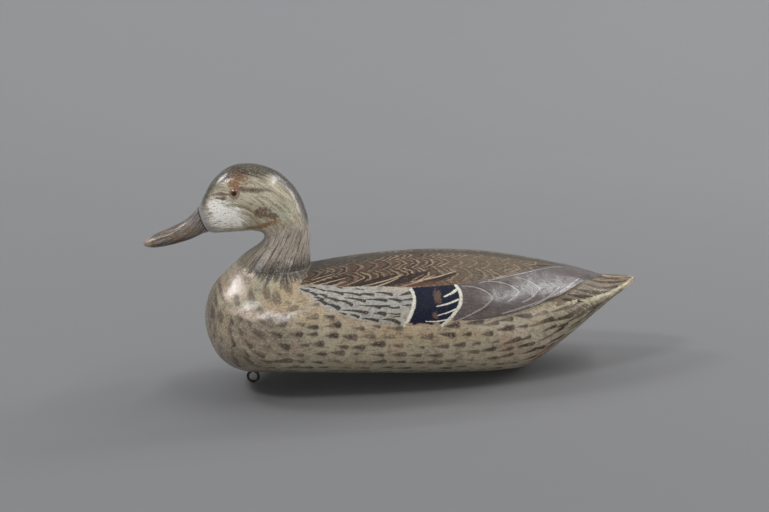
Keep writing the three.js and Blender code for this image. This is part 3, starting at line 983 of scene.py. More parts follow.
def build_neck_paint():
    """The streaked brown of the neck over the paint below it, with painted shade down its front, darkest in a
    fringe at its foot.
    """
    given, result = new_group("Neck paint", {"Place": ORIGIN, "Below": TAN}, "Colour")
    streaks = group("Neck streaks", Place=given["Place"])
    x, _, z = split(given["Place"])
    fringe = (1 - step(z, 94, 110)) * step(x, -132, -112)
    # Painted shade down the front of the neck
    front = 1 - step(x, -132, -110)
    colour = over(front, NECK_BROWN, SHADE_AND_GRIME, 0.86)
    colour = over(fringe, colour, NECK_DARK, 0.8)
    colour = over(streaks["Dark"], colour, NECK_DARK, 0.7)
    pale = streaks["Light"] * (1 - fringe * 0.78)
    colour = over(pale, colour, NECK_PALE, 0.74)
    result["Colour"] = mix(streaks["Foot"], given["Below"], colour)


def build_breast_ground():
    """The worn tan of breast and flank. Body and head share it at the foot of the neck."""
    given, result = new_group("Breast ground", {"Place": ORIGIN}, "Colour")
    mottle = noise(given["Place"], 0.05, 4, 0.65)
    blotch = noise(given["Place"] + (300, 100, 700), 0.022, 2, 0.5)
    ground = mix(step(mottle, 0.4, 0.6), TAN, TAN_OLIVE)
    result["Colour"] = mix(step(blotch, 0.48, 0.66), ground, TAN_PINK)


def build_shaded_and_rubbed_breast():
    """Painted shade on the front, lower and middle breast, and the pink patches where it is rubbed."""
    given, result = new_group("Shaded and rubbed breast", {"Place": ORIGIN, "Below": TAN}, "Colour", "Worn")
    x, _, z = split(given["Place"])
    seen = combine(x, z)
    cloud = noise(given["Place"], 0.3, 4, 0.7)
    cloud = (cloud - 0.5) * 2.2
    # Painted shade, then the rubbed pink patches
    colour = over(patches(seen, cloud, *BREAST_SHADE, soft=0.8), given["Below"], DAB_AND_SHADE_BROWN, 0.58)
    worn = patches(seen, cloud, *BREAST_WORN, soft=0.55) * 0.75
    result["Colour"] = mix(worn, colour, BREAST_PINK)
    result["Worn"] = worn


def build_worn_varnish():
    """How rough old paint is, and how much varnish is left on it, rubbed off the tops of its brush marks."""
    inputs = {"Mottle": 0.5, "Height": 0.5, "Varnish": 1.0}
    given, result = new_group("Worn varnish", inputs, "Roughness", "Coat")
    nodes = result.nodes
    result["Roughness"] = nodes.output("ShaderNodeMapRange", given["Mottle"], 0.3, 0.7, 0.42, 0.6)
    coat = nodes.output("ShaderNodeMapRange", given["Mottle"], 0.3, 0.7, 1, 0.6)
    rubbed = step(given["Height"], 0.49, 0.56) * 0.64
    result["Coat"] = coat * (1 - rubbed) * given["Varnish"]


def build_paint_flecks():
    """Pale and dark flecks all over old paint."""
    inputs = {"Fleck": 0.5, "Pale share": 1.0, "Below": TAN, "Pale": TAN_WORN, "Dark": DEEP_BROWN}
    given, result = new_group("Paint flecks", inputs, "Colour")
    pale = step(given["Fleck"], 0.56, 0.64) * given["Pale share"]
    colour = over(pale, given["Below"], given["Pale"], 0.34)
    dark = 1 - step(given["Fleck"], 0.35, 0.44)
    result["Colour"] = over(dark, colour, given["Dark"], 0.46)


class BodyMarks:
    """Places on the body and uneven marks, which all its areas of paint share."""

    def __init__(self, nodes):
        self.nodes = nodes
        self.along, around, flow = nodes.flow()
        self.place = nodes.place()
        self.x, _, self.z = split(self.place)
        self.level = abs(around)
        self.mottle = noise(self.place, 0.05, 4, 0.65)
        self.fleck = noise(self.place, 0.62, 3, 0.7)
        self.grime = noise(self.place + (40, 900, 10), 0.16, 4, 0.7)
        self.grain = noise(flow * (0.1, 0.62, 0), 1, 4, 0.65)
        self.fine = noise(flow * (0.35, 1.3, 0), 1, 3, 0.65)
        self.wobble = (self.fine - 0.5) * 3
        self.fray = (self.grain - 0.5) * 1.8
        self.speck = (self.fleck - 0.5) * 3.2
        self.side = combine(self.along + self.speck * 0.7, self.level + self.wobble * 0.4)
        self.seen = combine(self.x, self.z)

    def depth(self, area):
        """How deep the place lies inside an area of paint, in millimetres."""
        return self.nodes.value(area)

    def area(self, name, low=-0.3, high=0.3, ragged=0.4, specks=0.0):
        """Where an area of paint lies, with an uneven edge."""
        return step(self.depth(name) + self.wobble * ragged + self.speck * specks, low, high)


def flank_paint(on):
    """Worn tan with brown dabs and painted shade on the breast, under the neck's streaks. Gives the bare
    ground and the paint.
    """
    ground = group("Breast ground", Place=on.place)["Colour"]
    ground = over(patches(on.seen, on.fray, *BREAST_OCHRE, soft=0.6), ground, TAN_OCHRE, 0.6)
    ground = over(patches(on.seen, on.fray, *BREAST_GREEN, soft=0.7), ground, TAN_GREEN, 0.65)
    ground = over(patches(on.seen, on.speck, *FLANK_PALE, soft=0.7), ground, TAN_WORN, 0.5)
    ground = over(step(on.grain, 0.5, 0.64), ground, DAB_AND_SHADE_BROWN, 0.42)
    ground = over(step(on.fine, 0.54, 0.68), ground, TAN_WORN, 0.5)
    # The breast with its painted shade and its rubbed pink patches
    rubbed = group("Shaded and rubbed breast", Place=on.place, Below=ground)
    ground = rubbed["Colour"]
    unworn = 1 - rubbed["Worn"]
    strength = on.mottle * 1.6 + 0.05
    dabs = unit(on.area("flank_dabs", -1, 0.9, 0.95, 0.5) * strength)
    marks = patches(on.seen, on.fray, *BREAST_MARKS, soft=0.4)
    dabs = highest(dabs, marks * 0.75)
    colour = over(dabs * unworn, ground, DAB_AND_SHADE_BROWN)
    cores = on.area("flank_dabs", 0.6, 2.2, 1, 0.3) * step(on.mottle, 0.4, 0.6)
    colour = over(cores, colour, DEEP_BROWN, 0.6)
    colour = group("Neck paint", Place=on.place, Below=colour)["Colour"]
    return ground, colour


def back_paint(on, colour):
    """Scale feathers, dark lances and a worn rump, with a dark ridge."""
    sway = on.grime - 0.5 + on.wobble * 0.04
    feathers = group("Scale feathers", Along=on.along + sway * 12, Around=on.level + on.fray * 1.6)
    back = mix(feathers["Shade"], BACK_BROWN, BACK_WARM)
    back = over(step(on.grime, 0.5, 0.6), back, RUST_BROWN, 0.4)
    broken = step(on.fine, 0.42, 0.55) * 0.6 + 0.4
    back = over(feathers["Light"] * broken, back, BACK_TAN, 0.92)
    back = over(feathers["Dark"], back, LANCE_BROWN, 0.96)
    rump = mix(step(on.grain, 0.4, 0.6), RUMP_BROWN, RUMP_PALE)
    rump = over(feathers["Dark"] * step(on.fine, 0.4, 0.6), rump, DEEP_BROWN, 0.66)
    rump = over(feathers["Light"], rump, BACK_TAN, 0.6)
    rump = over(step(on.grain, 0.53, 0.6), rump, DEEP_BROWN, 0.55)
    worn_rump = step(on.along + on.fray * 40, 34, 66)
    back = mix(worn_rump, back, rump)
    back = over(brush_lines(on.side, DARK_LANCES, 0.1, 0.1, 1.05), back, LANCE_BROWN, 0.97)
    back = over(brush_lines(on.side, LANCE_EDGES, 0.3, 0.5, 0.6), back, BACK_TAN, 0.9)
    ridge_width = 19 - step(on.along, -50, 20) * 12
    ridge = ridge_width - (on.level + on.fray * 7)
    ridge = step(ridge, -4, 4) * (broken * 0.6 + 0.4)
    back = over(ridge, back, RIDGE_OLIVE, 0.85)
    rust = patches(on.side, on.fray, *BACK_RUST, soft=0.5)
    back = over(rust * step(on.grain, 0.35, 0.55), back, RUST_BROWN, 0.75)
    return mix(on.area("back", ragged=0.7, specks=0.5), colour, back)


def tail_paint(on, colour, ground):
    """Dark strokes on the fan of the tail, its chipped pale edge, and painted shadow in streaks just under
    that edge.
    """
    tail = mix(0.8, ground, TAIL_BROWN)
    tail = over(step(on.grain, 0.44, 0.58), tail, BACK_BROWN, 0.6)
    tail = over(brush_lines(on.side, TAIL_LINES, 0.7, 1.1, 0.5), tail, DEEP_BROWN, 0.92)
    colour = mix(on.area("tail_fan"), colour, tail)
    chipped = on.fray * 3 + on.speck * 1.8
    worn_edge = 1 - step(abs(on.depth("fan_edge")) + chipped, 1.2, 2)
    worn_edge = worn_edge * (1 - step(on.grime, 0.5, 0.62)) * step(on.along + on.fray * 12, 152, 160)
    colour = over(worn_edge, colour, TAIL_CREAM, 0.85)
    # Painted shadow in a streaky band just under the tail's edge
    below = (on.depth("fan_edge") + on.fray * 4) * -1
    under = step(below, 1.5, 4) * (1 - step(below, 6, 20)) * step(on.x, 150, 166)
    return over(under * step(on.grain, 0.42, 0.56), colour, UNDER_TAIL_SHADE, 0.85)


def wing_paint(on, colour):
    """Grey-brown folded wings with pale lines round their feathers, painted shadows beside those lines, and a
    painted shadow along their edge.
    """
    wing = mix(step(on.grain, 0.4, 0.7), PRIMARY_BROWN, PRIMARY_PALE)
    wing = over(brush_lines(on.side, WING_SHADOWS), wing, DEEP_BROWN, 0.6)
    wing = over(brush_lines(on.side, WING_LINES), wing, LINE_GREY, 0.75)
    colour = mix(on.area("primaries", ragged=0.2), colour, wing)
    # Painted shadow under the step of the wing's lower edge; the dark line also runs along its other edges
    # behind its middle
    wing_edge_shadow = abs(on.depth("primaries") + 0.2)
    wing_edge_shadow = (1 - step(wing_edge_shadow + on.fray * 0.6, 0.5, 1.1)) * step(on.along, 92, 120)
    return over(wing_edge_shadow, colour, DEEP_BROWN, 0.65)


def covert_paint(on, colour):
    """The pale panel ahead of the speculum, with its dark dashes."""
    covert = mix(step(on.grain, 0.35, 0.7), COVERT_GREY, COVERT_PALE)
    covert = over(step(on.fleck, 0.6, 0.68), covert, TAN, 0.5)
    stains = patches(on.side, on.speck, *COVERT_STAINS, soft=0.6)
    covert = over(stains, covert, TAN, 0.45)
    covert = over(brush_lines(on.side, COVERT_DASHES, 0.3, 1.35, 0.05), covert, INK_BROWN, 0.95)
    return mix(on.area("covert_panel", ragged=1.3, specks=1.3), colour, covert)


def speculum_paint(on, colour):
    """The navy patch with its white bars and its worn spots."""
    navy = mix(step(on.fine, 0.5, 0.75), NAVY, NAVY_DUSTY)
    colour = mix(on.area("speculum", ragged=0.35, specks=0.3), colour, navy)
    white = brush_lines(on.side, WHITE_BARS, 1, 1, 0.1)
    white = highest(white, brush_lines(on.side, WHITE_DASHES, 0.6, 1.1, 0.1))
    chips = 1 - step(on.fleck, 0.56, 0.62) * 0.55
    colour = over(white * chips, colour, WHITE_PAINT)
    worn = patches(on.side, on.speck, *SPECULUM_WORN, soft=0.3)
    colour = over(worn, colour, WORN_BROWN, 0.85)
    worn = patches(on.side, on.fray, *SPECULUM_EDGE_WORN, soft=0.4)
    return over(worn, colour, TAN_PINK, 0.9)


def edge_and_fleck_paint(on, colour):
    """The ragged lower edge, and flecks where the paint is gritty."""
    # A dark ragged band along the lowest 2 mm of the front of the body
    edge = on.z + on.speck * 0.5
    ragged_edge = (1 - step(edge, 1.6, 2.4)) * (1 - step(on.x + on.speck, -70, -50))
    colour = over(ragged_edge, colour, INK_BROWN, 0.9)
    smooth_paint = highest(step(on.depth("back"), -1, 1), step(on.depth("primaries"), -1, 1))
    smooth_paint = highest(smooth_paint * 0.72, step(on.depth("speculum"), -1, 0))
    gritty = 1 - smooth_paint
    colour = group(
        "Paint flecks", Fleck=on.fleck, Pale_share=gritty, Below=colour, Pale=TAN_WORN, Dark=DEEP_BROWN,
    )["Colour"]
    return over((1 - step(on.grime, 0.36, 0.5)) * gritty, colour, SHADE_AND_GRIME, 0.4)


def body_paint():
    """Aged oil paint of breast, flank, back, tail and wings, laid over one another as on the decoy."""
    material, nodes, shader = new_material("aged paint on the body")
    on = BodyMarks(nodes)
    ground, colour = flank_paint(on)
    colour = back_paint(on, colour)
    colour = tail_paint(on, colour, ground)
    for paint in (wing_paint, covert_paint, speculum_paint, edge_and_fleck_paint):
        colour = paint(on, colour)
    height = on.fine * 0.5 + on.fleck * 0.5
    dull = highest(step(on.depth("back"), -1, 3), step(on.depth("speculum"), -1, 1))
    dull = highest(dull, step(on.depth("tail_fan"), -1, 1))
    dull = highest(dull, patches(on.seen, 0, NECK_FOOT_DULL, soft=0.4))
    off_wing = 1 - step(on.depth("primaries"), -0.5, 0.5)
    dull = highest(dull, step(on.x, 50, 100) * off_wing)
    finish_paint(shader, colour, on.mottle, height, 1 - dull * 0.75)
    return material


def finish_paint(shader, colour, mottle, height, varnish):
    """Old oil paint under a worn varnish, with the marks of the brush."""
    shader["Base Color"] = colour
    finish = group("Worn varnish", Mottle=mottle, Height=height, Varnish=varnish)
    shader["Roughness"] = finish["Roughness"]
    shader["Coat Weight"] = finish["Coat"]
    shader["Specular IOR Level"] = PAINT_SPECULAR
    shader["Coat Roughness"] = VARNISH_ROUGHNESS
    shader["Coat IOR"] = VARNISH_IOR
    shader["Normal"] = height.nodes.bump(height, 0.7, BRUSH_MARKS)
    shader["Coat Normal"] = height.nodes.bump(height, 0.3, BRUSH_MARKS)


class HeadMarks:
    """Places on the head and streaks round the chin, which all its areas of paint share."""

    def __init__(self, nodes):
        _, around, flow = nodes.flow()
        self.place = nodes.place()
        self.x, y, self.z = split(self.place)
        self.level = abs(around)
        from_chin = combine(self.x - CHIN[0], self.z - CHIN[1])
        turn = maths("ARCTAN2", self.x - CHIN[0], self.z - CHIN[1])
        hair = combine(turn * 36, maths("LENGTH", from_chin), y)
        self.streak = noise(hair * (0.085, 0.62, 0.3), 1, 4, 0.7)
        self.dash = noise(hair * (0.2, 1.2, 0.4), 1, 2, 0.6)
        self.broad = noise(hair * (0.05, 0.2, 0.1), 1, 3, 0.6)
        self.bill_streak = noise(flow * (0.07, 0.55, 0), 1, 4, 0.7)
        self.mottle = noise(self.place, 0.06, 3, 0.6)
        self.fleck = noise(self.place, 0.62, 3, 0.7)
        self.fray = (self.streak - 0.5) * 2.6
        self.torn = self.fray + (self.fleck - 0.5) * 1.6
        self.seen = combine(self.x + self.fray, self.z + self.torn * 0.6)


def face_paint(on):
    """Streaked cream with a white face, rusty and brown lines and a dark crown."""
    colour = mix(step(on.broad, 0.38, 0.62), HEAD_CREAM, HEAD_KHAKI)
    green = patches(on.seen, on.torn, *CHEEK_GREEN, soft=0.6)
    colour = over(green, colour, HEAD_GREEN, 0.6)
    face = patches(on.seen, on.fray, *WHITE_FACE, soft=0.5)
    colour = over(face, colour, FACE_WHITE)
    colour = over(step(on.streak, 0.52, 0.6) * (1 - face * 0.8), colour, HEAD_BROWN, 0.62)
    rust = patches(on.seen, on.torn, *CROWN_SPOTS, soft=0.45)
    colour = over(rust * step(on.streak, 0.3, 0.5), colour, CROWN_RUST, 0.85)
    rust = patches(on.seen, on.torn, *CHEEK_SPOTS, soft=0.35)
    colour = over(rust, colour, CHEEK_RUST, 0.8)
    ochre = patches(on.seen, on.fray, *OCHRE_LINES, soft=0.5)
    colour = over(ochre, colour, OCHRE, 0.8)
    stripe = patches(on.seen, on.fray, *EYE_STRIPE, soft=0.5)
    colour = over(stripe, colour, HEAD_BROWN, 0.9)
    light_line = patches(on.seen, on.fray, LIGHT_LINE, soft=0.5)
    colour = over(light_line, colour, HEAD_CREAM, 0.8)
    colour = over(step(on.dash, 0.61, 0.67), colour, HEAD_DARK, 0.78)
    crown = 1 - step(on.level + (on.fray * 11 + on.torn * 2) + step(on.x, -114, -92) * 11, 15, 25)
    nape = (1 - step(on.level + on.torn * 3, 9, 20)) * step(on.x, -112, -96)
    colour = over(nape, colour, NAPE_GREY, 0.8)
    colour = over(crown, colour, CROWN_DARK, 0.85)
    return over(nape * step(on.streak, 0.5, 0.6), colour, HEAD_DARK, 0.7)


def neck_paint(on, colour):
    """The neck below the face, and the breast at its foot."""
    # The breast at the neck's foot, with its painted shade and rubbed patches
    breast = group("Breast ground", Place=on.place)["Colour"]
    breast = group("Shaded and rubbed breast", Place=on.place, Below=breast)["Colour"]
    neck = group("Neck paint", Place=on.place, Below=breast)["Colour"]
    down = on.z + on.fray * 7 + step(on.x, -106, -88) * -9
    colour = mix(1 - step(down, 116, 132), colour, neck)
    return over(step(on.level, 66, 74), colour, HEAD_KHAKI, 0.4)


def eyelid_paint(on, colour):
    """A brown rim round the eye."""
    eye_gap = maths("LENGTH", combine(on.x - EYE[0], on.z - EYE[2]))
    lid = 1 - step(eye_gap + on.torn * 0.3, *EYELID_EDGE)
    return over(lid, colour, EYELID, 0.8)


def bill_and_border(on, colour):
    """The bill, worn at its tip and with painted shade along its lower edge, behind its dark border."""
    ahead = BILL_LINE[0] + BILL_LINE_LEAN * BILL_LINE[1] - on.z * BILL_LINE_LEAN
    bill = ahead - on.x
    band = abs(bill + 3.4 + on.torn * 2)
    colour = over(1 - step(band, 0.5, 6.5), colour, LAVENDER, 0.8)
    rim = abs(bill + 1.7 + on.torn * 0.3)
    colour = over(1 - step(rim, 0.3, 1), colour, BORDER_PINK, 0.6)
    bill_paint = mix(step(on.bill_streak, 0.38, 0.62), BILL_GREY, BILL_BROWN)
    warm = patches(combine(on.x, on.z), on.torn, *BILL_SPOTS, soft=0.6)
    bill_paint = over(warm, bill_paint, BILL_OCHRE, 0.75)
    bill_paint = over(step(on.bill_streak + on.fleck * 0.3, 0.62, 0.72), bill_paint, BILL_DARK, 0.72)
    ridge = 1 - step(on.level + on.torn * 1.5, 2.5, 7)
    bill_paint = over(ridge, bill_paint, BILL_DARK, 0.6)
    # Painted shade along the lower edge of the bill
    bill_underside_shade = on.z - (on.x - BILL_END) * BILL_SLOPE
    bill_underside_shade = 1 - step(bill_underside_shade + on.torn, 111, 113.6)
    bill_paint = over(bill_underside_shade, bill_paint, BILL_DARK, 0.5)
    tip = 1 - step(on.x + on.torn * 2, -213, -206)
    bill_paint = over(tip, bill_paint, BILL_TIP, 0.7)
    red = tip * step(on.fleck, 0.5, 0.6)
    bill_paint = over(red, bill_paint, BILL_RED, 0.7)
    colour = mix(step(bill, -0.3, 0.3), colour, bill_paint)
    border = abs(bill + on.torn * 0.3)
    colour = over(1 - step(border, 0.4, 1.1), colour, BILL_DARK, 0.9)
    return group("Paint flecks", Fleck=on.fleck, Below=colour, Pale=HEAD_CREAM, Dark=HEAD_DARK)["Colour"]


def head_paint():
    """Aged oil paint of head, neck and bill."""
    material, nodes, shader = new_material("aged paint on the head")
    on = HeadMarks(nodes)
    colour = face_paint(on)
    for paint in (neck_paint, eyelid_paint, bill_and_border):
        colour = paint(on, colour)
    height = on.dash * 0.5 + on.fleck * 0.5
    dull = patches(combine(on.x, on.z), 0, *HEAD_DULL, soft=0.4)
    finish_paint(shader, colour, on.mottle, height, 1 - dull * 0.75)
    return material


def flank_rows(points):
    """Rows for the dabs on breast and flank: level in front, and rising with the keel at the rear."""
    x = points[:, 0, 0]
    main = np.arange(len(points)) < MAIN_STATIONS
    rear = np.clip(x, LEVEL_TO, TAIL_TIP_X)
    keel_start, widest_start = keel_line(LEVEL_TO), widest_level(LEVEL_TO)
    rows = []
    for level in ROW_LEVELS:
        if level < widest_start:
            share = (level - keel_start) / (widest_start - keel_start)
            rising = keel_line(rear) + share * (widest_level(rear) - keel_line(rear))
        else:
            rising = widest_level(rear) + (level - widest_start)
        rows.append(level_line(points, np.where(main & (x > LEVEL_TO), rising, level)))
    return rows


def paint_side(points, normals, bare, seed):
    """Brush marks of one side of the body, as their depth at each point, on the bare ground only."""
    rng = np.random.default_rng(seed)

    def size_at(i, j):
        x, z = points[i, j, 0], points[i, j, 2]
        if not bare[i, j] or x > DABS_END or (z > BREAST_TOP and x < BREAST_END):
            return 0, 1
        low = float(np.interp(z - max(keel_line(x), 0), *SIZE_UP))
        slim = low * float(np.interp(x, *SLIM_ALONG))
        return float(np.interp(x, *SIZE_ALONG)), slim

    return flow_dabs(points, normals, flank_rows(points), rng, size_at)


def line_depth(points, along, around):
    """How far each place lies above a line given as distance along and around, in millimetres."""
    line = np.array(points, float)
    return np.interp(along, line[:, 0], line[:, 1]) - around


def waves(points, seed, shortest, longest):
    """Uneven waves through the wood at each point, mostly between -1 and 1."""
    rng = np.random.default_rng(seed)
    total = np.zeros(points.shape[:-1])
    for _ in range(WAVE_COUNT):
        heading = rng.normal(size=3)
        heading /= np.linalg.norm(heading)
        wavelength = rng.uniform(shortest, longest)
        total += np.sin(points @ heading * 2 * math.pi / wavelength + rng.uniform(0, 6.28))
    return total / math.sqrt(WAVE_COUNT)


def chipped_edge(points, normals, from_edge):
    """Points near a worn edge, knocked in unevenly."""
    share = np.clip(waves(points, *CHIP_WAVES), 0, 1) * np.exp(-(from_edge / CHIP_REACH) ** 2)
    return points - normals * (share * CHIP_DEPTH)[..., None]


def hand_carved(points, normals, from_seam):
    """Points moved inwards unevenly, as knife and rasp leave the wood, but not at the neck's seam."""
    share = np.clip(0.5 + waves(points, *CARVED_WAVES) * CARVED_CONTRAST, 0, 1)
    depth = CARVED_DEPTH * np.clip(from_seam / FLARE_REACH, 0, 1)
    return points - normals * (share * depth)[..., None]


def flare_neck(points, from_seam, turns):
    """Fill the corner where the neck meets the breast, so that the one runs into the other."""
    outward_line = (points[..., :2] - NECK_MIDDLE) / np.square(NECK_HALF_SIZES)
    outward_line /= np.linalg.norm(outward_line, axis=-1, keepdims=True)
    fill = FLARE_DEPTH * np.sin(turns * math.pi / 2) ** 2 * np.clip(1 - from_seam / FLARE_REACH, 0, 1) ** 2
    flared = points.copy()
    flared[..., :2] += outward_line * fill[..., None]
    return flared


def make_body():
    """The body, with the areas of paint stored in its mesh as depths."""
    points, turns, along, around = body_grid()
    from_seam = path_lengths(points[::-1], 0)[::-1]
    from_seam[:MAIN_STATIONS] = FLARE_REACH
    points = flare_neck(points, from_seam, turns)
    normals = surface_normals(mirrored(points))[:, :turns.shape[1]]
    main = (np.arange(len(points)) < MAIN_STATIONS)[:, None]
    back = np.minimum(line_depth(SCAPULAR_BORDER, along, around), along - CREASE_X + BACK_LEAN * around)
    wing_line = around[:, WING_POINTS - 1:WING_POINTS]
    covert = polygon_depth(along, around, COVERT_TOP + COVERT_END + COVERT_BOTTOM[::-1])
    speculum = polygon_depth(along, around, SPECULUM)
    folded = np.minimum(np.minimum(wing_line - around, -back), along - WING_START)
    wing = np.where(main, np.minimum(folded, WING_TIP_X - along), DAB_MISS)
    fan = polygon_depth(along, around, TAIL_FAN)
    bare = np.maximum.reduce([back, covert, speculum, wing]) < BARE_MARGIN
    near, far = (paint_side(points, normals, bare, seed) for seed in DAB_SEEDS)
    columns = {"flank_dabs": np.concatenate([near, far[:, -2:0:-1]], 1)}
    shared = {
        "back": back,
        "covert_panel": covert,
        "speculum": speculum,
        "primaries": wing,
        "tail_fan": np.minimum(fan, around - wing_line * (along < WING_TIP_X)),
        "fan_edge": np.where(main & (along > FAN_START), line_depth(FAN_EDGE, along, around), OFF_FAN),
    }
    columns.update({name: both_sides(values) for name, values in shared.items()})
    rings = mirrored(points)
    normals = surface_normals(rings)
    rings = hand_carved(rings, normals, both_sides(from_seam))
    body = mesh_from_rings("decoy_body", chipped_edge(rings, normals, columns["fan_edge"]))
    store_values(body, columns)
    store_flow(body, both_sides(along), both_sides(around))
    return body


def make_head():
    """Head, neck and bill, with a groove where the bill starts."""
    points, along, around = head_grid()
    turns = np.linspace(0, 2, HEAD_POINTS)[None]
    rings = mirrored(flare_neck(points, along, turns))
    normals = surface_normals(rings)
    rings = hand_carved(rings, normals, both_sides(along))
    from_border = BILL_LINE[0] - BILL_LINE_LEAN * (rings[..., 2] - BILL_LINE[1]) - rings[..., 0]
    groove = np.exp(-(from_border / BORDER_WIDTH) ** 2) * BORDER_DEPTH
    from_tip = rings[..., 0] - HEAD_SECTIONS[-1][0]
    head = mesh_from_rings("decoy_head", chipped_edge(rings - normals * groove[..., None], normals, from_tip))
    store_flow(head, both_sides(along), both_sides(around))
    return head


def finish_piece(piece, material, slot, *nodes):
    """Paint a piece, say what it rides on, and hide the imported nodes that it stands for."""
    piece.data.materials.append(material)
    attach(piece, "root")
    if nodes:
        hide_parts(*nodes)


def make_stage():
    """A pale sweep: a flat floor that curves up into a backdrop all round."""
    slope = math.atan2(-TIE_BOTTOM, REAR_REST_X - TIE_X)
    sides = STAGE_SIDES
    profile = [(STAGE_FLAT * share, 0) for share in (0.02, 0.2, 0.6, 1)]
    for angle in np.linspace(0, STAGE_STEEPEST, STAGE_BENDS + 1)[1:]:
        profile.append((STAGE_FLAT + STAGE_BEND * math.sin(angle), STAGE_BEND - STAGE_BEND * math.cos(angle)))
    verts, faces = [(0, 0, 0)], []
    for radius, level in profile:
        for k in range(sides):
            turn = 2 * math.pi * k / sides
            verts.append((radius * math.cos(turn), radius * math.sin(turn), level))
    for k in range(sides):
        following = (k + 1) % sides
        faces.append([0, 1 + k, 1 + following])
        for row in range(len(profile) - 1):
            a, b = 1 + row * sides + k, 1 + row * sides + following
            faces.append([a, a + sides, b + sides, b])
    verts = np.array(verts)
    x = verts[:, 0] * math.cos(slope) - verts[:, 2] * math.sin(slope)
    z = verts[:, 0] * math.sin(slope) + verts[:, 2] * math.cos(slope)
    drop = -REAR_REST_X * math.tan(slope)
    floor = mesh_piece("stage", np.stack([x, verts[:, 1], z + drop], 1), faces)
    material, _, shader = new_material("pale grey sweep", 0.85)
    shader["Base Color"] = STAGE_GREY
    floor.data.materials.append(material)


def make_camera():
    camera = add_object("camera", bpy.data.cameras.new("camera"))
    camera.data.sensor_width = SENSOR
    camera.data.lens = FOCAL_PIXELS / PHOTO_WIDTH * SENSOR
    camera.data.clip_end = CLIP_END
    pitch = math.atan((PHOTO_HEIGHT / 2 - HORIZON_ROW) / FOCAL_PIXELS)
    camera.location = (0, -CAMERA_DISTANCE * MM, CAMERA_HEIGHT * MM)
    camera.rotation_euler = (math.pi / 2 - pitch, 0, 0)
    bpy.context.scene.camera = camera


def make_light(name, location, aim, width, height, watts, mirrored_in_paint):
    light = bpy.data.lights.new(name, "AREA")
    light.shape = "RECTANGLE"
    light.size, light.size_y = width, height
    light.energy = watts
    light.color = LAMP_COLOUR
    piece = add_object(name, light)
    piece.location = location
    piece.rotation_euler = (Vector(location) - Vector(aim)).to_track_quat("Z", "Y").to_euler()
    piece.visible_camera = False
    piece.visible_glossy = mirrored_in_paint


def make_lights():
    middle = Vector(LIGHT_AIM)
    for name, (right, up, width, height, brightness, mirrored_in_paint) in SOFTBOXES.items():
        right, up = math.radians(right), math.radians(up)
        towards = Vector((math.cos(up) * math.sin(right), -math.cos(up) * math.cos(right), math.sin(up)))
        watts = brightness * math.pi * width * height
        make_light(name, middle + towards * LIGHT_DISTANCE, middle, width, height, watts, mirrored_in_paint)
    make_light("backdrop light", BACKDROP_LIGHT, BACKDROP_AIM, *BACKDROP_SIZE, BACKDROP_POWER, False)
    world = bpy.data.worlds.new("soft room")
    world.use_nodes = True
    background = world.node_tree.nodes["Background"]
    background.inputs["Color"].default_value = ROOM_COLOUR
    background.inputs["Strength"].default_value = ROOM_BRIGHTNESS
    bpy.context.scene.world = world
    bpy.context.scene.view_settings.view_transform = "Standard"


def outward(rings):
    """The same rings, in the order round each that turns the faces outwards."""
    a, b = rings[:-1], rings[1:]
    c, d = np.roll(b, -1, 1), np.roll(a, -1, 1)
    middle = rings.mean((0, 1))
    facing = np.cross(c - a, d - b) * ((a + c) / 2 - middle)
    return rings if facing.sum() > 0 else rings[:, ::-1]


def eye_glass(name):
    """A glass eye: a dark pupil in a brown iris, under a clear polished dome."""
    material, nodes, shader = new_material(name + " glass", 0.3)
    place = nodes.place()
    x, _, z = split(place)
    right, up = x - EYE[0], z - EYE[2]
    gap = maths("LENGTH", combine(right, up))
    rays = noise(combine(maths("ARCTAN2", right, up) * 3, gap), 1.6, 3, 0.6)
    iris = mix(step(gap + rays * 1.4, *IRIS_SHADES), IRIS_BROWN, IRIS_LIGHT)
    iris = mix(step(rays, 0.45, 0.65) * 0.4, iris, PUPIL)
    iris = mix(step(gap, *IRIS_EDGE), iris, IRIS_RIM)
    colour = mix(step(gap, *PUPIL_EDGE), PUPIL, iris)
    shader["Base Color"] = colour
    shader["Coat Weight"] = 1
    shader["Coat Roughness"] = 0.03
    return material


def make_eye(name, side):
    turns = np.linspace(EYE_POLE, math.pi - EYE_POLE, EYE_STATIONS)[:, None]
    angles = np.linspace(0, 2 * math.pi, EYE_SIDES, endpoint=False)[None]
    reach = EYE_RADIUS * np.sin(turns)
    centre = np.array([EYE[0], side * EYE[1], EYE[2]])
    out = EYE_RADIUS * np.cos(turns) + 0 * angles
    rings = np.stack([reach * np.cos(angles), out, reach * np.sin(angles)], -1)
    return mesh_from_rings(name + "_ball", outward(centre + rings))


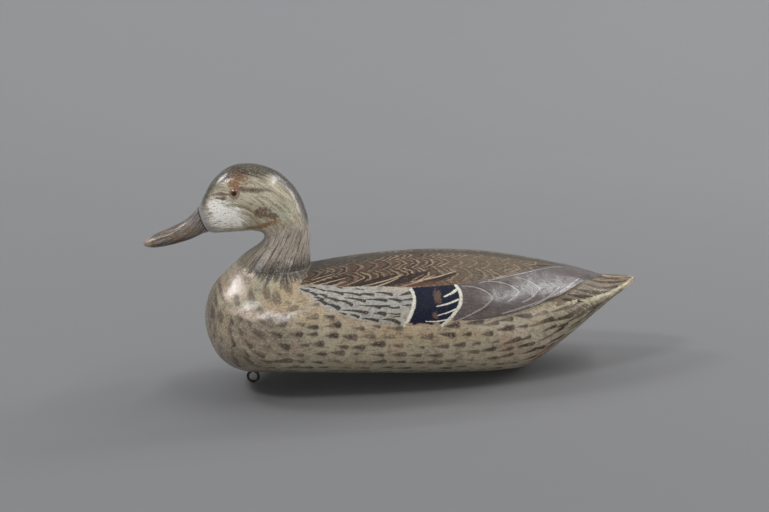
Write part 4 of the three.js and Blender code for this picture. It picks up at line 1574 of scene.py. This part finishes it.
def make_line_tie():
    """A screw eye of bent wire: the shank goes up into the wood, and the ring comes back against it."""
    angles = math.pi / 2 - np.linspace(TIE_START, 2 * math.pi - TIE_GAP, RING_POINTS)
    bend = TIE_CENTRE + TIE_RING
    shank_levels = np.linspace(TIE_TOP - 0.3, bend + 0.6, SHANK_POINTS)
    shank = np.stack([np.full(SHANK_POINTS, TIE_X), shank_levels], 1)
    ring = np.stack([TIE_X + TIE_RING * np.cos(angles), TIE_CENTRE + TIE_RING * np.sin(angles)], 1)
    path = np.concatenate([shank, ring])
    low, high = SHANK_POINTS - 6, SHANK_POINTS + 10
    for _ in range(3):
        path[low:high] = (path[low - 1:high - 1] + path[low:high] + path[low + 1:high + 1]) / 3
    ahead = np.gradient(path, axis=0)
    ahead /= np.linalg.norm(ahead, axis=1)[:, None]
    turn = np.linspace(0, 2 * math.pi, TIE_SIDES, endpoint=False)[None]
    rings = np.stack([
        path[:, :1] + TIE_WIRE * np.cos(turn) * -ahead[:, 1:],
        TIE_WIRE * np.sin(turn) + 0 * path[:, :1],
        path[:, 1:] + TIE_WIRE * np.cos(turn) * ahead[:, :1],
    ], -1)
    return mesh_from_rings("screw_eye", outward(rings))


def tie_steel():
    """Dark steel wire with rust in patches."""
    material, nodes, shader = new_material("rusty steel", 0.5)
    place = nodes.place()
    rust = step(noise(place, 0.42, 4, 0.7), 0.45, 0.6)
    shader["Base Color"] = mix(rust, STEEL_DARK, STEEL_RUST)
    shader["Metallic"] = 0.85 - rust * 0.8
    shader["Roughness"] = rust * 0.35 + 0.42
    shader["Normal"] = nodes.bump(noise(place, 1.5, 3, 0.7), 0.5, RUST_MARKS)
    return material


build_brush_line()
build_scale_feathers()
build_soft_patch()
build_neck_streaks()
build_neck_paint()
build_breast_ground()
build_shaded_and_rubbed_breast()
build_worn_varnish()
build_paint_flecks()
make_camera()
make_lights()
make_stage()
finish_piece(make_body(), body_paint(), "body_paint", "body")
finish_piece(make_head(), head_paint(), "head_paint", "head")
for name, side in (("eye_left", -1), ("eye_right", 1)):
    finish_piece(make_eye(name, side), eye_glass(name), "eye_glass", name)
finish_piece(make_line_tie(), tie_steel(), "tie_steel", "line_tie")
